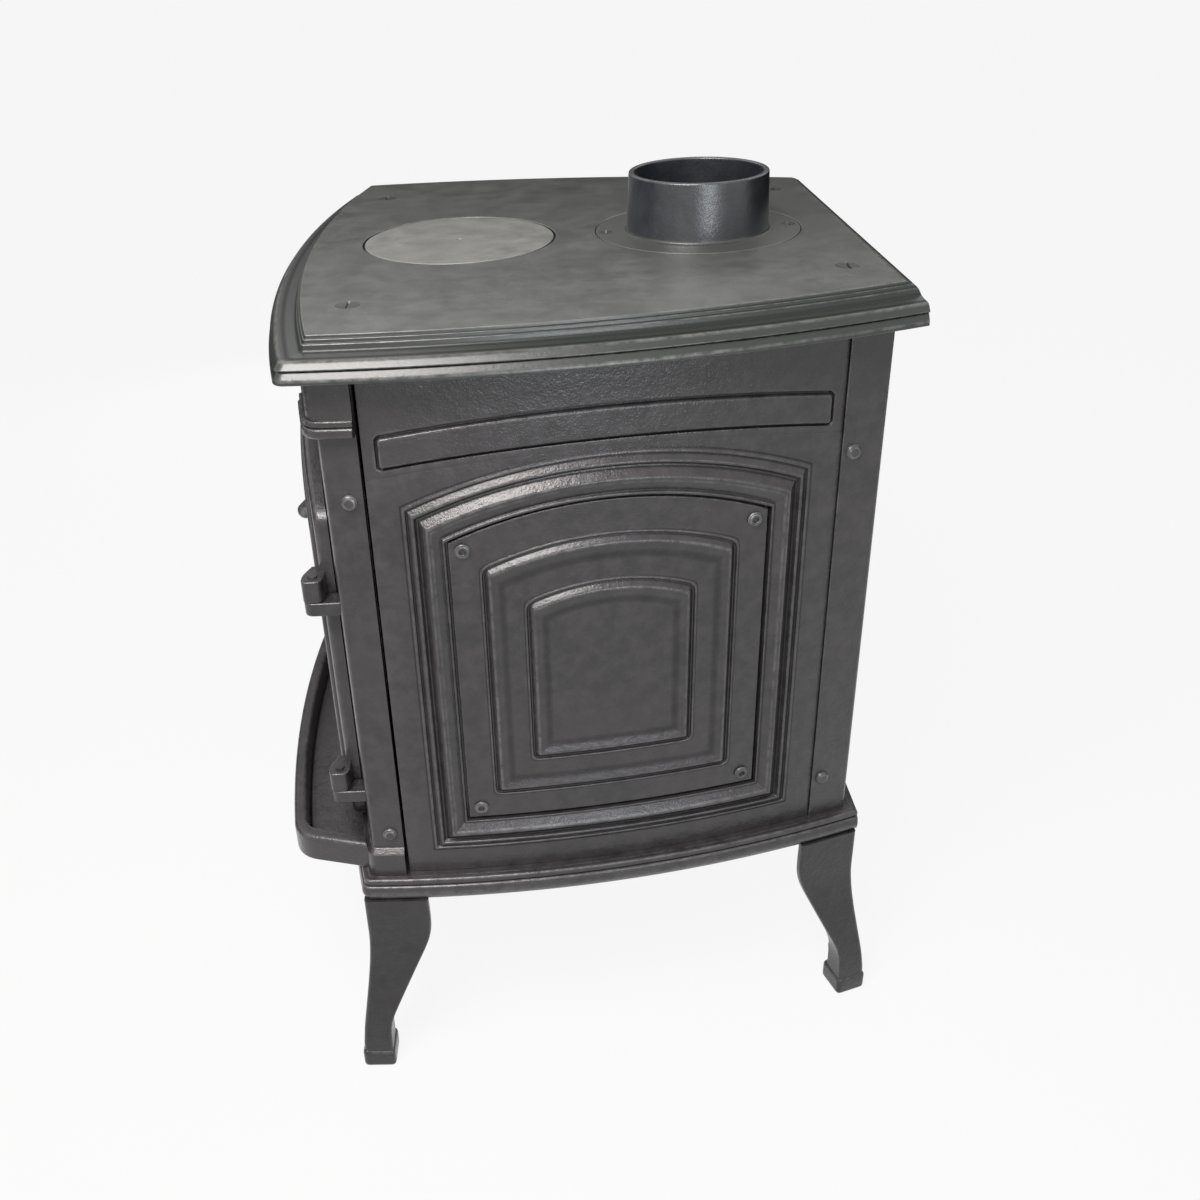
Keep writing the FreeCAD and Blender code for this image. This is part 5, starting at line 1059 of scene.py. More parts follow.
@dataclass(frozen=True)
class FlueCollar:
    """The flue's disc and upright spigot."""

    disc: float = 90.0
    seat: float = 5.0
    boss: float = 72.0
    boss_drop: float = 12.0
    spigot: float = 62.5
    taper: float = 1.8
    wall: float = 5.0
    height: float = 50.0
    foot: float = 3.5
    screw_ring: float = 81.0
    screw_hole: float = 6.4

    def dress(self) -> None:
        """Turns the profile, fills the disc's face round the screw holes, and places the collar."""
        bore = self.spigot - self.taper - self.wall
        tip = self.spigot - self.taper
        foot, rim = self.spigot + self.foot + 1.0, self.disc - 1.2
        profile, crest = rounded([
            (foot, 0.0, 0.0), (self.spigot, 0.0, self.foot), (tip, self.height, 1.8),
            (bore, self.height, 1.6), (bore, -self.boss_drop, 0.4), (self.boss, -self.boss_drop, 0.5),
            (self.boss, -self.seat, 0.3), (self.disc, -self.seat, 0.3), (self.disc, 0.0, 0.8),
            (rim, 0.0, 0.0)], convex=-1.0)
        profile, crest = finer(profile, crest, 8.0)
        spots = [(0.0, self.screw_ring), (0.0, -self.screw_ring)]
        face = Surface.flat([ring(rim, (0, 0), 128), ring(foot, (0, 0), 128)]
                            + [ring(self.screw_hole, spot, 40) for spot in spots], 0.0)
        sink = Surface.turned(np.array([(self.screw_hole, 0.0), (3.2, -3.6), (0.0, -3.6)]), segments=40)
        holes = [sink.moved((*spot, 0.0)) for spot in spots]
        collar = Surface.joined(Surface.turned(profile, crest, 128), face, *holes)
        Fitting("collar", Body.STOVE, "body_iron", ("flue_collar",), COLLAR_IRON).place(
            collar.moved((0.0, FLUE_Y, COOK_Z)))


@dataclass(frozen=True)
class BasePlate:
    """The moulded base, hollow below, with air slots and the ash pan's rails."""

    rear_reach: float = 12.0
    ceiling: float = 210.0
    slots: tuple[float, ...] = (-60.0, 0.0, 60.0)
    slot_half: tuple[float, float] = (13.0, 12.0)
    slot_y: float = 20.0
    rail_x: float = 140.0
    rail_size: tuple[float, float, float] = (4.0, 165.0, 266.0)
    corner_rounds: tuple[float, float] = (3.0, 8.0)

    def build(self) -> Surface:
        """Sweeps the edge round the plan and fills its top and its hollow's ceiling.

        Returns:
            The closed surface, with the rails.
        """
        profile, crest = rounded([
            (-24.0, 22.0, 0.0), (6.5, 22.0, 0.8), (11.8, 21.9, 4.0), (11.6, 16.4, 0.7), (10.0, 15.6, 0.6),
            (13.0, 15.0, 2.5), (15.2, 8.0, 5.5), (12.0, 0.0, 3.0), (-1.0, 0.0, 0.8),
            (-1.0, self.ceiling - BASE_Z, 0.0)], convex=1.0)
        grow = profile[:, 0]
        rear_y = REAR_Y + np.minimum(grow, self.rear_reach)
        loops = PLAN.outline(grow, edge_rounds(grow, self.corner_rounds), rear_y)
        rim = Surface.grid(lifted(loops, BASE_Z + profile[:, 1]), crest[:, None], wrap_columns=True)
        unit = np.array([(-1.0, -1.0), (1.0, -1.0), (1.0, 1.0), (-1.0, 1.0)])
        slots = [unit * np.array(self.slot_half) + np.array([x, self.slot_y]) for x in self.slots]
        levels = np.array([self.ceiling, FLOOR_Z])
        walls = [Surface.grid(lifted(np.stack([slot, slot]), levels), wrap_columns=True) for slot in slots]
        half_x, half_y, top = self.rail_size
        rails = [prism(unit * np.array([half_x, half_y]) + np.array([x, 0.0]), FLOOR_Z - 2.0, top, 0.8)
                 for x in (-self.rail_x, self.rail_x)]
        return Surface.joined(rim, Surface.flat([loops[0], *slots], FLOOR_Z),
                              Surface.flat([loops[-1], *slots], self.ceiling), *walls, *rails)

    def dress(self) -> None:
        """Places the plate."""
        Fitting("base", Body.STOVE, "body_iron", ("base_plate",), BODY_IRON).place(self.build())


@dataclass(frozen=True)
class SidePanel:
    """A bowed side: an arched frame of ridges round the cover's recess, and a raised strip above."""

    half: float = 184.75
    recess: Arch = COVER_ARCH
    brow_low: float = 604.5
    brow_rise: float = 14.5
    strip_half: float = 172.75
    strip_low: float = 614.0
    strip_rise: float = 13.0
    strip_tall: float = 24.0

    def frame_surface(self) -> Surface:
        """The lower part: profile rows across the frame, carried round the arch and closed over the back.

        Returns:
            The closed surface.
        """
        front, crest = rounded([
            (14.0, -14.0, 0.0), (14.0, -7.0, 0.3), (-2.2, -7.0, 0.3), (-2.2, 1.3, 0.5), (-3.7, 1.3, 0.6),
            (-4.6, -0.4, 0.6), (-5.4, -0.4, 0.5), (-12.0, 3.8, 2.0), (-14.8, 5.2, 2.2), (-20.6, -0.6, 1.4),
            (-22.6, -1.2, 0.8), (-24.2, 2.6, 1.0), (-25.6, 2.6, 1.0), (-29.2, -0.6, 0.6), (-29.8, -0.6, 0.4),
            (-30.6, 1.2, 0.5), (-31.8, 1.2, 0.8), (-33.6, 0.0, 1.0), (-36.0, 0.0, 0.0)],
            convex=-1.0)
        back = np.array([(-12.0, -WALL), (-10.5, -14.0)])
        near = self.recess.loops(front[:, 0], np.full(len(front), 0.7))
        soft = np.array([0.8, 0.25, 0.0, 0.0])
        edge = arch_loops(self.half - soft, FLOOR_Z + soft, self.brow_low, self.brow_rise, 0.05)
        far = self.recess.loops(back[:, 0], np.full(len(back), 0.7))
        flat = np.concatenate([near, edge, far])
        height = np.concatenate([front[:, 1], (0.0, -0.25, -0.8, -WALL), back[:, 1]])
        rubbed = np.concatenate([crest, (0.2, 0.6, 0.0, 0.0), np.zeros(len(back))])
        points = PLAN.on_side(flat, height[:, None])
        return Surface.grid(points, rubbed[:, None], wrap_rows=True, wrap_columns=True)

    def brow_surface(self) -> Surface:
        """The upper part: a grid whose rows follow the strip's arcs.

        The strip's height comes from the distance to its rounded outline: a rounded edge up to its face
        inside, and a shallow groove outside.

        Returns:
            The closed slab.
        """
        steps = np.array([-5.0, -3.4, -2.4, -1.6, -0.9, -0.3, 0.2, 0.7, 1.2, 1.8, 2.6, 4.0])
        ends = np.concatenate([[-self.half, -self.half + 0.25, -self.half + 0.8], -self.strip_half + steps])
        inner = self.strip_half - 7.0
        u = np.concatenate([ends, np.linspace(-inner, inner, 48), -ends[::-1]])
        low = self.arc(u, self.strip_half, self.strip_low, self.strip_rise)
        brow = self.arc(u, self.half, self.brow_low, self.brow_rise)
        near = low[None] + steps[:, None]
        face = low[None] + np.linspace(6.0, self.strip_tall - 6.0, 4)[:, None]
        over = low[None] + self.strip_tall - steps[::-1, None]
        top = over[-1] + np.linspace(0.0, 1.0, 6)[1:, None] * (ROOF_Z - over[-1])
        z = np.concatenate([brow[None], near[1:], face, over, top])
        middle = low + self.strip_tall / 2
        turn = 2.5
        away = np.stack([np.abs(u)[None] - self.strip_half + turn + 0 * z,
                         np.abs(z - middle) - self.strip_tall / 2 + turn])
        gap = (np.linalg.norm(np.maximum(away, 0.0), axis=0) + np.minimum(away.max(axis=0), 0.0) - turn)
        height = np.interp(gap, [-2.4, -1.4, -0.7, -0.2, 0.15, 0.5, 1.6, 2.1, 3.0, 4.2],
                           [2.6, 2.5, 2.0, 1.0, -1.2, -1.8, -1.8, -0.2, 0.4, 0.0])
        height = height - np.interp(self.half - np.abs(u), [0.0, 0.25, 0.8], [0.8, 0.25, 0.0])
        crest = np.interp(gap, [-2.2, -1.2, -0.5, 0.0, 0.4, 1.7, 2.2, 3.0, 4.0],
                          [0.0, 0.9, 0.9, 0.0, -1.0, -1.0, 0.2, 0.6, 0.0])
        flat = np.stack([np.broadcast_to(u, z.shape), z], axis=-1)
        return Surface.slab(PLAN.on_side(flat, height), PLAN.on_side(flat, np.full(z.shape, -WALL)), crest)

    @staticmethod
    def arc(u: np.ndarray, half: float, low: float, rise: float) -> np.ndarray:
        """The level of a shallow arc over a chord, carried on past its ends."""
        radius = (half ** 2 + rise ** 2) / (2 * rise)
        return low + rise - radius + np.sqrt(radius ** 2 - u ** 2)

    def dress(self) -> None:
        """Places both sides."""
        surface = Surface.joined(self.frame_surface(), self.brow_surface())
        for hand in Hand:
            side = hand.name.lower()
            Fitting(f"side_{side}", Body.STOVE, "body_iron", (f"side_panel_{side}",), BODY_IRON).place(
                surface.on(hand))


@dataclass(frozen=True)
class SideCover:
    """The bolted cover plate, with two nested arched frames.

    Each frame is a fine line, a groove and a ridge with a long slope.
    """

    outline: Arch = COVER_ARCH
    back: float = -7.0
    face: float = -1.0
    frame_insets: tuple[float, float] = (22.7, 56.4)
    bolt_inset: float = 11.0
    bolt_levels: tuple[float, float] = (288.0, 541.0)
    bolt_head: float = 6.4

    def build(self) -> Surface:
        """Carries a profile round the arch, from the middle of the back over the edge to that of the face.

        Returns:
            The closed surface of the right-hand cover.
        """
        face, middle = self.face, self.outline.half
        ridge = np.array([
            (0.0, 0.0, 0.6), (1.0, 0.9, 0.6), (1.9, 0.9, 0.5), (2.6, -1.2, 0.6), (4.0, -1.2, 0.8),
            (7.8, 3.0, 1.9), (17.0, 0.0, 4.0)])
        corner = np.array([6.0, 7.0, 7.0, 6.0, 4.0, 1.5, 1.2])
        lines = [np.array([(middle, self.back, 0.0), (0.0, self.back, 0.3), (0.0, face, 1.2)])]
        cuts = [np.array([0.0, 0.7, 0.7])]
        for inset in self.frame_insets:
            lines.append(ridge + np.array([inset, face, 0.0]))
            cuts.append(corner)
        lines.append(np.array([(middle, face, 0.0)]))
        cuts.append(np.array([0.0]))
        steps = 6
        path, crest = rounded(np.concatenate(lines), steps=steps, convex=1.0)
        cut = np.repeat(np.concatenate(cuts), steps)[steps - 1:1 - steps]
        path, crest = finer(np.column_stack([path, cut]), crest, 7.0)
        loops = self.outline.loops(path[:, 0], path[:, 2])
        return Surface.grid(PLAN.on_side(loops, path[:, 1:2]), crest[:, None], wrap_columns=True)

    def bolt(self) -> Surface:
        """A low round head with a socket in its middle.

        Returns:
            The bolt, its head standing on Z = 0.
        """
        head = self.bolt_head
        profile, crest = rounded([
            (0.0, 0.9, 0.0), (2.3, 0.9, 0.3), (2.6, 2.9, 0.4), (4.4, 2.8, 1.2), (head, 1.9, 1.2),
            (head, 0.0, 0.2), (3.2, -0.4, 0.2), (3.2, -8.0, 0.2), (0.0, -8.0, 0.0)], convex=1.0)
        return Surface.turned(profile, crest, 40)

    def bolts(self) -> Surface:
        """Seats four bolts square to the bow.

        Returns:
            The bolts of the right-hand cover.
        """
        reach = self.outline.half - self.bolt_inset
        flat = np.array([(y, z) for y in (-reach, reach) for z in self.bolt_levels])
        spots = PLAN.on_side(flat, np.full(4, self.face))
        axes = PLAN.on_side(flat, np.ones(4)) - PLAN.on_side(flat, np.zeros(4))
        return Surface.joined(*[self.bolt().seated(spot, axis) for spot, axis in zip(spots, axes)])

    def dress(self) -> None:
        """Places both covers and their bolts."""
        surface, bolts = self.build(), self.bolts()
        for hand in Hand:
            side = hand.name.lower()
            Fitting(f"cover_{side}", Body.STOVE, "body_iron", (f"side_cover_{side}",), BODY_IRON).place(
                surface.on(hand))
        Fitting("cover_bolt_heads", Body.STOVE, "black_fasteners", ("cover_bolts",), FASTENER).place(
            Surface.joined(bolts, bolts.mirrored()))


@dataclass(frozen=True)
class FrontFrame:
    """The front: columns round both corners, beaded capitals, a flush header, a plinth and hinge lugs."""

    opening: Arch = Arch(182.0, 264.0, 542.0, 49.6)
    column_x: float = 214.0
    plinth_top: float = 247.5
    cornice_low: float = 642.0
    capital_x: float = 204.0
    corner: float = 5.0
    hinge: tuple[float, float] = HINGE
    lug_levels: tuple[float, float] = (284.0, 477.0)
    lug_thickness: float = 12.0
    lug_radius: float = 9.0

    def band(self, corners: Sequence[tuple[float, float, float]], pull: float = 0.0,
             from_x: float = 0.0) -> Surface:
        """Carries a closed profile of grow and level round the front's corners to the ends of both flanges.

        Args:
            corners: the profile's corners: grow, level and cut.
            pull: how far the parts that stand most proud draw back at the ends.
            from_x: where the band starts on either side of the middle, or zero for one band from end to end.

        Returns:
            The closed surface.
        """
        profile, crest = rounded(corners, closed=True, convex=-1.0)
        grow = profile[:, 0]
        end = FLANGE_END_Y - pull * np.clip(grow / max(grow.max(), 1.0), 0.0, 1.0) ** 2
        corner = np.maximum(self.corner + grow, 1.0)
        if from_x:
            paths = PLAN.right_run(grow, corner, end)
            paths = paths[:, np.argmax(paths[0, :, 0] > from_x):]
        else:
            paths = PLAN.both_runs(grow, corner, end)
        points = lifted(paths, profile[:, 1]).transpose(1, 0, 2)
        band = Surface.grid(points, crest[None], wrap_columns=True).capped(points.shape[1])
        return Surface.joined(band, band.mirrored()) if from_x else band

    def columns(self) -> Surface:
        """The plain run from beside the opening round the corner to the flange's end, on both sides.

        Returns:
            The two closed surfaces.
        """
        rows = np.array([(-WALL, self.plinth_top), (0.0, self.plinth_top), (0.0, self.cornice_low),
                         (-WALL, self.cornice_low)])
        run = PLAN.right_run(rows[:, 0], np.where(rows[:, 0] < 0, 1.0, self.corner), np.full(4, FLANGE_END_Y))
        start = np.argmax(run[0, :, 0] > self.column_x)
        run = run[:, start:]
        run[:, 0, 0] = self.column_x
        run[:, 0, 1] = PLAN.front.y_at(self.column_x, rows[:, 0])
        points = lifted(run, rows[:, 1]).transpose(1, 0, 2)
        right = Surface.grid(points, wrap_columns=True).capped(4)
        return Surface.joined(right, right.mirrored())

    def mouth(self) -> Surface:
        """The wall round the door's opening, closed over its back.

        Returns:
            The closed surface.
        """
        soft = np.array([0.0, 1.2])
        inner = self.opening.loops(-soft, np.full(2, 6.0), keep_rise=True)
        wide = arch_loops(np.full(2, self.column_x), self.plinth_top, self.cornice_low, 0.0, 0.05)
        flat = np.concatenate([inner, wide, inner[::-1]])
        height = np.array([-1.2, 0.0, 0.0, -WALL, -WALL, -WALL])
        return Surface.grid(PLAN.on_front(flat, height[:, None]), wrap_rows=True, wrap_columns=True)

    def lugs(self) -> Surface:
        """The two lugs that carry the hinge pins: flat eyes rooted in the right-hand column.

        Returns:
            The two closed surfaces.
        """
        x, y = self.hinge
        reach = self.lug_radius
        eye, _ = rounded([
            (x + reach, y + 26.0, 1.0), (x - reach, y + 26.0, 1.0), (x - reach, y - reach, reach),
            (x + reach, y - reach, reach)], closed=True, steps=10)
        return Surface.joined(*[prism(eye, level, level + self.lug_thickness, 1.2)
                                for level in self.lug_levels])

    def build(self) -> Surface:
        """Joins all parts of the casting.

        Returns:
            The closed surfaces together.
        """
        top, low = self.plinth_top, self.cornice_low
        plinth = self.band([
            (-WALL, FLOOR_Z, 0.0), (5.0, FLOOR_Z, 0.6), (5.0, 243.0, 1.0), (0.6, top, 0.8),
            (-WALL, top, 0.0)])
        capitals = self.band([
            (-2.0, low, 0.0), (0.0, low, 0.2), (11.0, 642.3, 4.0), (11.0, 650.6, 4.0), (7.4, 650.9, 0.5),
            (9.4, 651.4, 1.8), (9.4, 656.0, 2.0), (7.0, 656.4, 0.5), (7.0, SKIRT_Z, 0.4),
            (-2.0, SKIRT_Z, 0.2)], pull=1.2, from_x=self.capital_x)
        header = self.band([
            (-WALL, low, 0.0), (0.0, low, 0.2), (0.0, ROOF_Z, 0.2), (-WALL, ROOF_Z, 0.0)])
        return Surface.joined(plinth, capitals, header, self.columns(), self.mouth(), self.lugs())

    def dress(self) -> None:
        """Places the casting."""
        Fitting("front", Body.STOVE, "body_iron", ("front_frame",), BODY_IRON).place(self.build())


@dataclass(frozen=True)
class FlangeBolts:
    """Button heads on the column and on the rear strip, on both sides."""

    radius: float = 6.6
    height: float = 3.4
    rows: tuple[tuple[float, float, float], ...] = (
        (-201.0, 587.0, 0.0), (-201.0, 263.0, 0.0), (191.0, 587.0, 2.5), (191.0, 263.0, 2.5))

    def dress(self) -> None:
        """Seats a domed head square to the bow at each place."""
        profile, crest = rounded([(0.0, self.height, 0.0), (4.3, self.height - 0.2, 1.2), (6.2, 1.9, 1.0),
                                  (self.radius, 0.4, 0.4), (self.radius, -0.4, 0.2), (2.8, -0.6, 0.2),
                                  (2.8, -8.0, 0.2), (0.0, -8.0, 0.0)], convex=1.0)
        head = Surface.turned(profile, crest, 40)
        spread = np.array(self.rows)
        flat = spread[:, :2] - np.array([RELIEF_Y, 0.0])
        spots = PLAN.on_side(flat, spread[:, 2])
        axes = PLAN.on_side(flat, np.ones(4)) - PLAN.on_side(flat, np.zeros(4))
        heads = Surface.joined(*[head.seated(spot, axis) for spot, axis in zip(spots, axes)])
        Fitting("button_heads", Body.STOVE, "black_fasteners", ("flange_bolts",), FASTENER).place(
            Surface.joined(heads, heads.mirrored()))


@dataclass(frozen=True)
class RearPanel:
    """The rear plate with its turned strips and a plain raised rib."""

    strip_grow: float = 2.5
    rib_inset: float = 40.0
    rib_width: float = 14.0
    rib_proud: float = 4.0

    def build(self) -> Surface:
        """Carries the plan section up, and the rib's profile round a square outline.

        Returns:
            The closed surfaces of the plate and the rib.
        """
        out, deep = self.strip_grow, REAR_Y - WALL
        heel = float(PLAN.side.x_at(REAR_Y, out))
        half = [(float(PLAN.side.x_at(PANEL_REAR_Y, out)), PANEL_REAR_Y, 1.2), (heel, REAR_Y, 3.0)]
        inner = [(float(PLAN.side.x_at(PANEL_REAR_Y, -WALL)), PANEL_REAR_Y, 0.5),
                 (float(PLAN.side.x_at(deep, -WALL)), deep, 2.0)]
        corners = half + [(-x, y, cut) for x, y, cut in half[::-1]] + [(-x, y, cut) for x, y, cut in inner]
        corners += inner[::-1]
        loop, crest = rounded(corners, closed=True, convex=-1.0)
        points = lifted(np.stack([loop, loop]), np.array([FLOOR_Z, ROOF_Z]))
        wall = Surface.grid(points, crest[None], wrap_columns=True).capped(len(loop))
        wide, proud = self.rib_width, self.rib_proud
        rib, rubbed = rounded([
            (0.0, -1.0, 0.0), (0.0, proud, 2.4), (wide, proud, 2.4), (wide, -1.0, 0.0)],
            closed=True, convex=1.0)
        inset, rise = self.rib_inset + rib[:, 0], rib[:, 1:2]
        loops = arch_loops(heel - inset, FLOOR_Z + inset, SKIRT_Z - inset, 0.0, 6.0 - rib[:, 0] * 0.2)
        x, z = -loops[..., 0], loops[..., 1]
        places = np.stack([x, REAR_Y + rise + 0 * x, z], axis=-1)
        return Surface.joined(wall, Surface.grid(places, rubbed[:, None], wrap_rows=True, wrap_columns=True))

    def dress(self) -> None:
        """Places the plate."""
        Fitting("rear", Body.STOVE, "body_iron", ("rear_panel",), BODY_IRON).place(self.build())


@dataclass(frozen=True)
class AshLip:
    """The rimmed shelf below the door."""

    reach: float = 67.0
    height: float = 27.0
    rim: float = 12.0
    floor: float = 6.0
    corner: float = 20.0
    taper: float = 18.0
    root_inset: float = 6.0
    plinth: float = 5.0

    def build(self) -> Surface:
        """Carries the rim's profile round the shelf's outline, and joins floor and underside to the plinth.

        Returns:
            The closed surface.
        """
        rise, rim, floor = self.height, self.rim, self.floor
        profile, crest = rounded([
            (3.0, 0.0, 0.0), (0.0, 0.0, 2.5), (0.0, rise, 4.5), (rim, rise, 4.0), (rim + 1.5, floor, 2.0),
            (rim + 6.0, floor, 0.0)], convex=1.0)
        inset = profile[:, 0]
        root = PLAN.front_width / 2 - self.root_inset - inset
        tip = np.stack([root - self.taper, PLAN.front.y_at(root - self.taper, self.reach - inset)], axis=-1)
        end = np.stack([root, PLAN.front.y_at(root, self.plinth)], axis=-1)
        cut = np.maximum(self.corner - inset * 0.8, 4.0)
        start_x = tip[:, 0] - cut
        x = start_x[:, None] * np.linspace(0.0, 1.0, 50)
        front = np.stack([x, PLAN.front.y_at(x, (self.reach - inset)[:, None])], axis=-1)
        back = end - tip
        bent = tip + back * (cut / np.linalg.norm(back, axis=1))[:, None]
        t = np.linspace(0.0, 1.0, 12)[None, :, None]
        corner = front[:, -1:] * (1 - t) ** 2 + tip[:, None] * 2 * t * (1 - t) + bent[:, None] * t ** 2
        share = np.linspace(0.0, 1.0, 10)[None, :, None]
        side = bent[:, None] + (end - bent)[:, None] * share
        half = np.concatenate([front[:, :-1], corner, side[:, 1:]], axis=1)
        outline = np.concatenate([(half * np.array([-1.0, 1.0]))[:, :0:-1], half], axis=1)
        rows = lifted(outline, FLOOR_Z + profile[:, 1])
        inner = rows[-1]
        wall = np.column_stack([inner[:, 0], PLAN.front.y_at(inner[:, 0], self.plinth)])
        behind = lifted(np.stack([wall, wall]), np.array([FLOOR_Z + floor, FLOOR_Z]))
        points = np.concatenate([rows, behind]).transpose(1, 0, 2)
        rubbed = np.concatenate([crest, np.zeros(2)])
        return Surface.grid(points, rubbed[None], wrap_columns=True).capped(points.shape[1])

    def dress(self) -> None:
        """Places the shelf."""
        Fitting("ash_shelf", Body.STOVE, "body_iron", ("ash_lip",), BODY_IRON).place(self.build())


@dataclass(frozen=True)
class Leg:
    """A leg of two curved wings that run down to a solid ankle and a square toe."""

    top: float = 197.0
    wing: float = 58.0
    wall: float = 8.0
    toe_in: float = 12.0
    toe_tall: float = 25.0
    toe_proud: float = 1.5
    reach: float = 15.0
    rear_reach: float = 12.0

    def splay_at(self, z: np.ndarray) -> np.ndarray:
        """How far the outer edge stands out at a level: nothing above the knee, most at the toe."""
        return np.interp(z, [0.0, 25.0, 48.0, 71.0, 100.0, 125.0, 148.0, 197.0],
                         [16.0, 16.0, 13.6, 9.9, 5.3, 1.9, 0.0, 0.0])

    def inner_at(self, z: np.ndarray) -> np.ndarray:
        """Where a wing's inner edge lies at a level: wide above the knee, then a slant to the ankle."""
        return np.interp(z, [0.0, 44.0, 56.0, 70.0, 142.0, 156.0, 170.0, 197.0],
                         [12.0, 12.0, 14.0, 20.0, 53.0, 57.6, 58.6, 58.0])

    def build(self) -> Surface:
        """Lofts rounded L-shaped sections down the leg, and a rounded square for the toe.

        Returns:
            The right-hand front leg, its outer corner over the origin.
        """
        z = np.linspace(self.toe_tall - 6.0, self.top, 70)
        reach, splay = (np.convolve(np.pad(line, 3, mode="edge"), np.ones(7) / 7, mode="valid")
                        for line in (self.inner_at(z), self.splay_at(z)))
        width = reach + splay
        fill = np.interp(z, [45.0, 80.0], [0.85, 0.0])
        wall = np.minimum(self.wall + (width - self.wall) * fill, width * 0.86)
        nil = np.zeros_like(z)
        spots = [(nil, nil, 4.0), (width, nil, 2.6), (width, wall, 2.6), (wall, wall, 6.0),
                 (wall, width, 2.6), (nil, width, 2.6)]
        corners = np.stack([np.stack([a, b, np.full_like(z, cut)], axis=-1) for a, b, cut in spots], axis=1)
        loops, crest = rounded(corners, closed=True, steps=6, convex=-1.0)
        shank = np.stack([splay[:, None] - loops[..., 0], loops[..., 1] - splay[:, None],
                          np.broadcast_to(z[:, None], loops.shape[:2])], axis=-1)
        body = Surface.grid(shank, crest * 0.6, wrap_columns=True).capped(shank.shape[1])
        low, high = -float(self.splay_at(0.0)) - self.toe_proud, self.toe_in + self.toe_proud
        square, _ = rounded([
            (-high, low, 5.0), (-low, low, 5.0), (-low, high, 5.0), (-high, high, 5.0)], closed=True)
        return Surface.joined(body, prism(square, 0.0, self.toe_tall - 3.5, 4.5))

    def dress(self) -> None:
        """Places the four legs on the corners of their CAD solids, turned as those are."""
        leg = self.build()
        rear_y = REAR_Y + self.rear_reach
        spots = {"front": PLAN.corner(np.array([self.reach]))[0],
                 "rear": np.array([PLAN.side.x_at(rear_y, self.reach), rear_y])}
        for name, spot in spots.items():
            inward = 1.0 if name == "front" else -1.0
            y = spot[1] + inward * self.wing / 2
            cosine, sine = (np.array([PLAN.side.x_at(y), y]) - PLAN.side.centre) / PLAN.side.radius
            spin = np.array([(cosine, -sine, 0.0), (sine, cosine, 0.0), (0.0, 0.0, 1.0)])
            turned = (leg.points * np.array([1.0, inward, 1.0])) @ spin.T
            surface = Surface(turned, leg.faces, leg.crest).moved((*spot, 0.0))
            for hand in Hand:
                side = hand.name.lower()
                node = f"leg_{name}_{side}"
                Fitting(f"{node}_cast", Body.STOVE, "leg_iron", (node,), LEG_IRON).place(surface.on(hand))


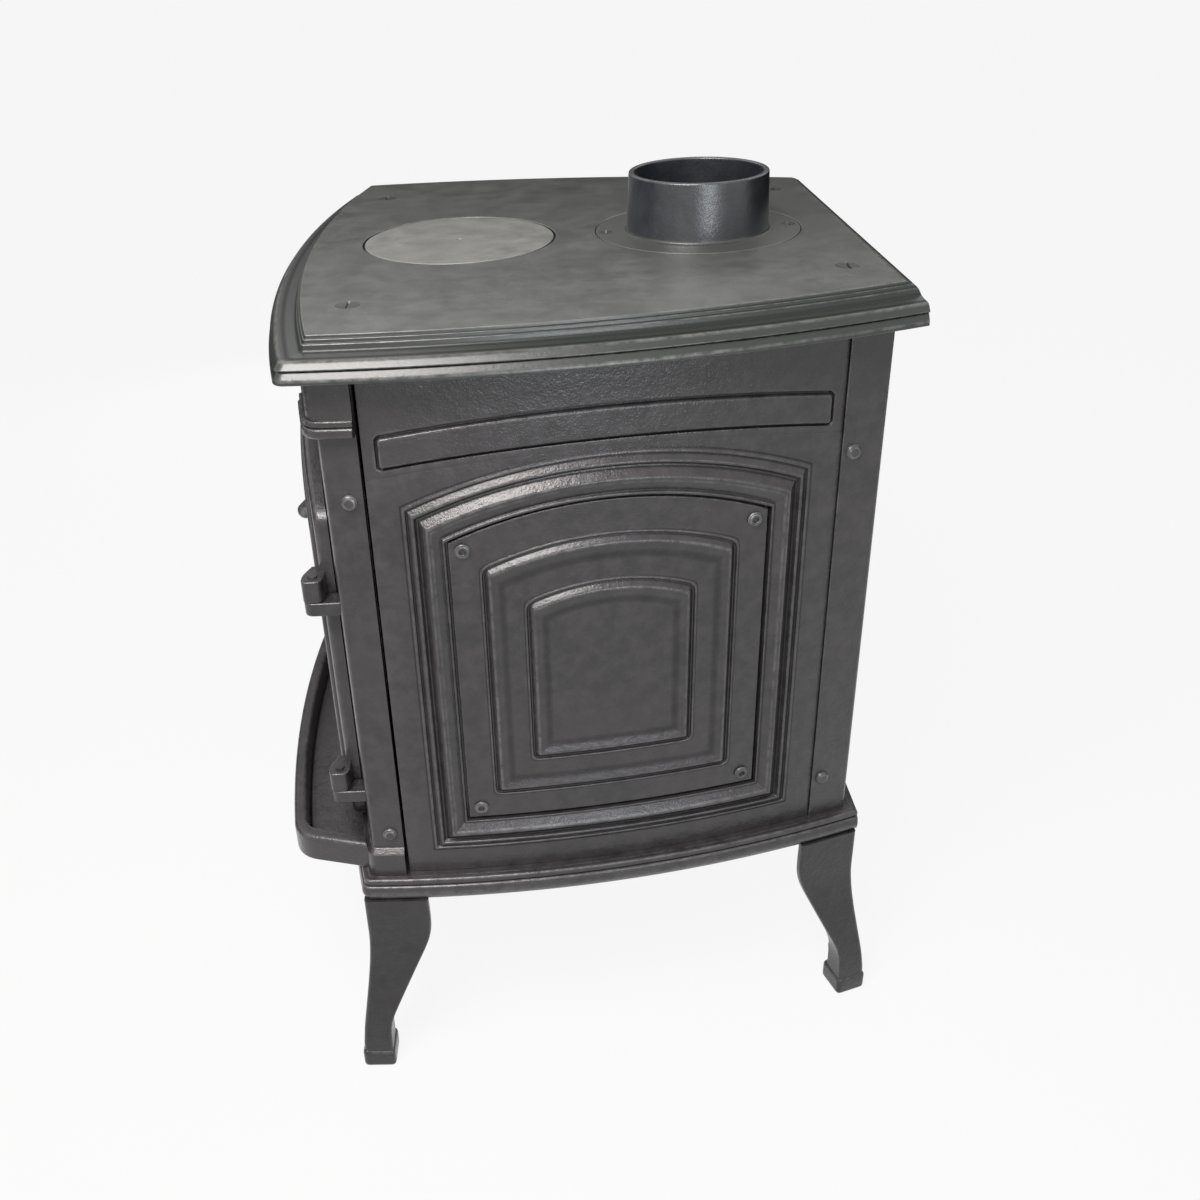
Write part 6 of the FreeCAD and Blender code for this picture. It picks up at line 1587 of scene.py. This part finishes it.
@dataclass(frozen=True)
class Door:
    """The bulging arched door with a bead along its rim and one round its window."""

    outline: Arch = Arch(222.0, 252.0, 556.0, 62.0)
    window: Arch = Arch(140.0, 314.0, 516.0, 36.0)
    crown: float = 24.0
    edge: float = 11.0
    gap: float = 1.0
    edge_round: float = 5.0
    glass_y: float = -252.0
    hinge: tuple[float, float] = HINGE
    knuckle_levels: tuple[float, float] = (296.0, 489.0)
    knuckle_tall: float = 20.0
    knuckle_radius: float = 9.0
    boss: tuple[float, float] = (-168.0, 419.0)
    boss_radius: float = 15.0
    boss_proud: float = 2.0

    @cached_property
    def face(self) -> Bow:
        """The bow of the door's front."""
        half = self.outline.half
        y = float(PLAN.front.y_at(half, self.gap + self.edge))
        return Bow((-half, y), (half, y), self.crown)

    def build(self) -> Surface:
        """Carries a profile round the arch: edge, rim bead, window bead and reveal, and then the back.

        Returns:
            The closed surfaces of the door, its knuckles and its boss.
        """
        rim, rim_crest = rounded([
            (0.0, -self.edge, 0.0), (0.0, 0.0, self.edge_round), (13.4, 0.0, 0.8), (14.4, 3.6, 3.2),
            (24.6, 3.6, 3.2), (25.6, 0.0, 0.8), (30.0, 0.0, 0.0)], convex=1.0)
        sill, sill_crest = rounded([
            (-24.0, 0.0, 0.0), (-17.6, 0.0, 0.8), (-16.6, 3.6, 3.2), (-7.0, 3.6, 3.2), (-6.0, 0.0, 0.8),
            (0.0, 0.0, 1.6), (0.0, -8.0, 0.0)], convex=1.0)
        rim_cut = np.maximum(9.0 - rim[:, 0] * 0.3, 1.2)
        outer = self.outline.loops(rim[:, 0], rim_cut, keep_rise=True)
        inner = self.window.loops(sill[:, 0], np.full(len(sill), 1.2), keep_rise=True)
        share = np.linspace(0.0, 1.0, 6)[1:-1, None, None]
        between = outer[-1] + (inner[0] - outer[-1]) * share
        near = np.concatenate([outer, between, inner])
        height = np.concatenate([rim[:, 1], np.zeros(len(between)), sill[:, 1]])
        crest = np.concatenate([rim_crest, np.zeros(len(between)), sill_crest])
        front_y = self.face.y_at(near[..., 0]) - height[:, None]
        front_y[0] = PLAN.front.y_at(near[0, :, 0], self.gap)
        front_y[-1] = self.glass_y
        places = np.stack([near[..., 0], front_y, near[..., 1]], axis=-1)
        pocket = self.window.loops(np.array([-9.8, -9.8, -18.8, -18.8]), np.full(4, 1.2), keep_rise=True)
        deep = np.full(pocket.shape[:2], self.glass_y + 4.0)
        deep[0] = self.glass_y
        deep[3] = PLAN.front.y_at(pocket[3, :, 0], self.gap)
        behind = np.stack([pocket[..., 0], deep, pocket[..., 1]], axis=-1)
        slab = Surface.grid(np.concatenate([places, behind]),
                            np.concatenate([crest, np.zeros(4)])[:, None], wrap_rows=True, wrap_columns=True)
        return Surface.joined(slab, self.knuckles(), self.handle_boss())

    def knuckles(self) -> Surface:
        """The two eyes that turn on the hinge pins.

        Returns:
            The two closed surfaces.
        """
        x, y = self.hinge
        reach = self.knuckle_radius
        eye, _ = rounded([
            (x - 19.0, y - 3.0, 1.0), (x - 4.0, y - reach, 4.0), (x + reach, y - reach, reach),
            (x + reach, y + reach, reach), (x - 19.0, y + reach - 0.3, 1.0)], closed=True, steps=10)
        return Surface.joined(*[prism(eye, level + 0.3, level + self.knuckle_tall, 1.2)
                                for level in self.knuckle_levels])

    def handle_boss(self) -> Surface:
        """The round seat of the handle's spindle.

        Returns:
            The closed surface.
        """
        x, z = self.boss
        y = float(self.face.y_at(x))
        profile, crest = rounded([(0.0, self.boss_proud, 0.0), (self.boss_radius, self.boss_proud, 1.5),
                                  (self.boss_radius + 1.0, -6.0, 0.2), (0.0, -6.0, 0.0)], convex=1.0)
        return Surface.turned(profile, crest, 64).seated((x, y, z), (0.0, -1.0, 0.0))

    def dress(self) -> None:
        """Places the door."""
        Fitting("door_casting", Body.DOOR, "door_iron", ("door",), DOOR_IRON).place(self.build())


@dataclass(frozen=True)
class Handle:
    """The lever: a hub on the spindle and an arm that comes forward and droops to a rounded tip."""

    spot: tuple[float, float, float] = (-168.0, -250.6, 419.0)
    hub: float = 12.0
    hub_long: float = 25.0
    bend: float = 29.0
    droop: float = 45.0
    long: float = 66.0
    radius: float = 8.5

    def build(self) -> Surface:
        """Turns the hub and sweeps ellipses along the arm's path.

        Returns:
            The closed surfaces of the hub and the arm.
        """
        x, y, z = self.spot
        profile, crest = rounded([
            (0.0, self.hub_long, 0.0), (self.hub, self.hub_long, 3.0), (self.hub, 0.0, 1.0), (0.0, 0.0, 0.0)],
            convex=1.0)
        hub = Surface.turned(profile, crest, 48).seated(self.spot, (0.0, -1.0, 0.0))
        lean = math.radians(self.droop)
        root = np.array([y, z])
        knee = root + np.array([-self.bend, 0.0])
        tip = knee + self.long * np.array([-math.cos(lean), -math.sin(lean)])
        line, _ = rounded([(*root, 0.0), (*knee, 14.8), (*tip, 0.0)], steps=16)
        path, _ = finer(line, np.zeros(len(line)), 2.0)
        along = np.concatenate([[0.0], np.cumsum(np.linalg.norm(np.diff(path, axis=0), axis=1))])
        left = along[-1] - along
        swell = np.interp(along / along[-1], [0.0, 0.35, 0.8, 1.0], [0.80, 0.86, 1.25, 1.32])
        end = self.radius * 0.9
        close = np.sqrt(np.clip(1 - np.clip((end - left) / end, 0.0, 1.0) ** 2, 0.0, 1.0))
        width, tall = self.radius * swell * close, self.radius * 0.82 * swell * close
        way = np.gradient(path, axis=0)
        way /= np.linalg.norm(way, axis=1)[:, None]
        across = np.stack([-way[:, 1], way[:, 0]], axis=-1)
        angle = np.arange(32) * (2 * np.pi / 32)
        ring_x = x + width[:, None] * np.cos(angle)
        ring_yz = path[:, None] + (tall[:, None] * np.sin(angle))[..., None] * across[:, None]
        points = np.concatenate([ring_x[..., None], ring_yz], axis=-1)
        crest = np.interp(left, [0.0, 14.0, 30.0], [0.9, 0.5, 0.0])[:, None]
        return Surface.joined(hub, Surface.grid(points, crest, wrap_columns=True).capped(32))

    def dress(self) -> None:
        """Places the lever."""
        Fitting("lever", Body.HANDLE, "handle_iron", ("handle_lever",), HANDLE_IRON).place(self.build())


@dataclass(frozen=True)
class Lamp:
    """A soft box: its place and the point it faces, its width and height, all in metres, and its light.

    The radiance is relative to that of the white floor.
    """

    name: str
    place: tuple[float, float, float]
    aim: tuple[float, float, float]
    size: tuple[float, float]
    radiance: float
    colour: Colour = (1.0, 1.0, 1.0)

    def dress(self) -> None:
        """Adds the lamp, out of the camera's sight."""
        light = bpy.data.lights.new(self.name, "AREA")
        light.shape = "RECTANGLE"
        light.color = self.colour
        light.size, light.size_y = self.size
        light.energy = self.radiance * math.pi * self.size[0] * self.size[1]
        lamp = bpy.data.objects.new(self.name, light)
        lamp.visible_camera = False
        lamp.location = self.place
        way = Vector(self.aim) - Vector(self.place)
        lamp.rotation_euler = way.to_track_quat("-Z", "Y").to_euler()
        bpy.context.scene.collection.objects.link(lamp)


@dataclass(frozen=True)
class Studio:
    """A plain pale floor, soft light and the camera of the photograph."""

    floor_half: float = 60.0
    floor_shade: float = 0.55
    floor_bounce: float = 0.30
    floor_glow: float = 0.90
    ambient: float = 0.32
    flag_back: float = 1.1
    flag_side: float = 1.7
    flag_near: float = 0.4
    flag_tall: float = 1.2
    camera_place: tuple[float, float, float] = (1.084, -0.0312, 0.975)
    camera_way: tuple[float, float, float] = (-0.8763, -0.0054, -0.4816)
    camera_roll: float = -2.84
    sensor: float = 36.0
    lens: float = 36.196
    shift: tuple[float, float] = (0.0667, -0.025)
    lamps: tuple[Lamp, ...] = (
        Lamp("key", (0.92, -0.44, 1.66), (0.20, -0.05, 0.50), (0.84, 0.66), 18.5, (1.0, 0.96, 0.94)),
        Lamp("far_fill", (-1.9, -0.6, 0.60), (0.0, 0.0, 0.45), (0.9, 0.6), 3.0),
        Lamp("collar_kick", (1.70, 0.40, 0.66), (0.06, 0.13, 0.75), (0.50, 0.20), 20.0, (0.90, 0.95, 1.0)),
    )

    @staticmethod
    def seen(graph: Graph) -> Signal:
        """1 for rays that show the background: straight, mirrored or through glass."""
        camera, glossy, through = (graph.node("ShaderNodeLightPath", output=f"Is {ray} Ray")
                                   for ray in ("Camera", "Glossy", "Transmission"))
        return (camera + glossy + through).ramp(0.0, 1.0)

    @staticmethod
    def screen(name: str, corners: Sequence, faces: Sequence, shader: Callable[[Graph], Signal],
               hidden_from: Sequence[str] = ()) -> None:
        """Adds a plain piece to the stage.

        Args:
            name: its name, and that of its material.
            corners: its places, in metres.
            faces: the corners of each face, by number.
            shader: adds the nodes to a graph and returns the shader.
            hidden_from: the kinds of ray that pass it by.
        """
        mesh = bpy.data.meshes.new(name)
        mesh.from_pydata(corners, [], faces)
        mesh.materials.append(shaded(name, shader))
        piece = bpy.data.objects.new(name, mesh)
        for ray in hidden_from:
            setattr(piece, f"visible_{ray}", False)
        bpy.context.scene.collection.objects.link(piece)

    def floor_shader(self, graph: Graph) -> Signal:
        """Makes part of the floor's light its own, so that it reads as white and still takes a shadow.

        Args:
            graph: the material's graph.

        Returns:
            The shader.
        """
        seen = self.seen(graph)
        shade = graph.mix(seen, (self.floor_bounce,) * 3, (self.floor_shade,) * 3)
        matt = graph.node("ShaderNodeBsdfDiffuse", {"Color": shade})
        glow = graph.node("ShaderNodeEmission", {"Color": (1.0, 1.0, 1.0, 1.0), "Strength": 1.0})
        return graph.node("ShaderNodeMixShader", {0: seen * self.floor_glow, 1: matt, 2: glow})

    @staticmethod
    def flag_shader(graph: Graph) -> Signal:
        """Dark cloth."""
        return graph.node("ShaderNodeBsdfDiffuse", {"Color": (0.01, 0.01, 0.01, 1.0)})

    def screens(self) -> None:
        """Adds the floor, and dark cloths behind and beside the stove that only its reflections show."""
        half = self.floor_half
        square = [(-half, -half, 0.0), (half, -half, 0.0), (half, half, 0.0), (-half, half, 0.0)]
        self.screen("floor", square, [(0, 1, 2, 3)], self.floor_shader)
        back, side, near, tall = self.flag_back, self.flag_side, self.flag_near, self.flag_tall
        plan = [(near, -side), (-back, -side), (-back, side), (near, side)]
        cloths = [(x, y, z) for z in (0.02, tall) for x, y in plan]
        self.screen("flags", cloths, [(0, 1, 5, 4), (1, 2, 6, 5), (2, 3, 7, 6)], self.flag_shader,
                    hidden_from=("camera", "diffuse", "shadow", "transmission"))

    def world(self) -> None:
        """White where it is seen, moderate where it lights."""
        world = bpy.data.worlds.new("studio")
        bpy.context.scene.world = world
        world.use_nodes = True
        graph = Graph(world.node_tree)
        strength = self.seen(graph) * (1.0 - self.ambient) + self.ambient
        sky = graph.node("ShaderNodeBackground", {"Color": (1.0, 1.0, 1.0, 1.0), "Strength": strength})
        graph.node("ShaderNodeOutputWorld", {"Surface": sky})

    def camera(self) -> None:
        """The camera solved from the photograph."""
        way = Vector(self.camera_way).normalized()
        right = way.cross(Vector((0.0, 0.0, 1.0))).normalized()
        up = right.cross(way)
        roll = math.radians(self.camera_roll)
        cosine, sine = math.cos(roll), math.sin(roll)
        tilted_right, tilted_up = right * cosine + up * sine, up * cosine - right * sine
        data = bpy.data.cameras.new("photo")
        data.sensor_width = self.sensor
        data.lens = self.lens
        data.shift_x, data.shift_y = self.shift
        data.clip_start, data.clip_end = 0.05, 60.0
        camera = bpy.data.objects.new("photo", data)
        turn = Matrix((tilted_right, tilted_up, -way)).transposed().to_4x4()
        camera.matrix_world = Matrix.Translation(Vector(self.camera_place)) @ turn
        bpy.context.scene.collection.objects.link(camera)
        bpy.context.scene.camera = camera

    def dress(self) -> None:
        """Sets the stage, the lamps and the camera."""
        self.screens()
        self.world()
        for lamp in self.lamps:
            lamp.dress()
        self.camera()
        bpy.context.scene.view_settings.view_transform = "Standard"


def dress_cad() -> None:
    """Gives each CAD node that stays in view its finish."""
    for finish, names in CAD_FINISHES.items():
        for name in names:
            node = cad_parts[name]
            for held in node.material_slots:
                held.material = finish.material()
            log.info("%s: CAD shape with %s", name, finish.name)


def main() -> None:
    """Builds every piece in order, then the stage."""
    logging.basicConfig(level=logging.INFO, format="%(name)s %(message)s")
    for part in (TopPlate(), Hotplate(), FlueCollar(), BasePlate(), SidePanel(), SideCover(), FrontFrame(),
                 FlangeBolts(), RearPanel(), AshLip(), Leg(), Door(), Handle(), Studio()):
        part.dress()
    dress_cad()


if __name__ == "__main__":
    main()
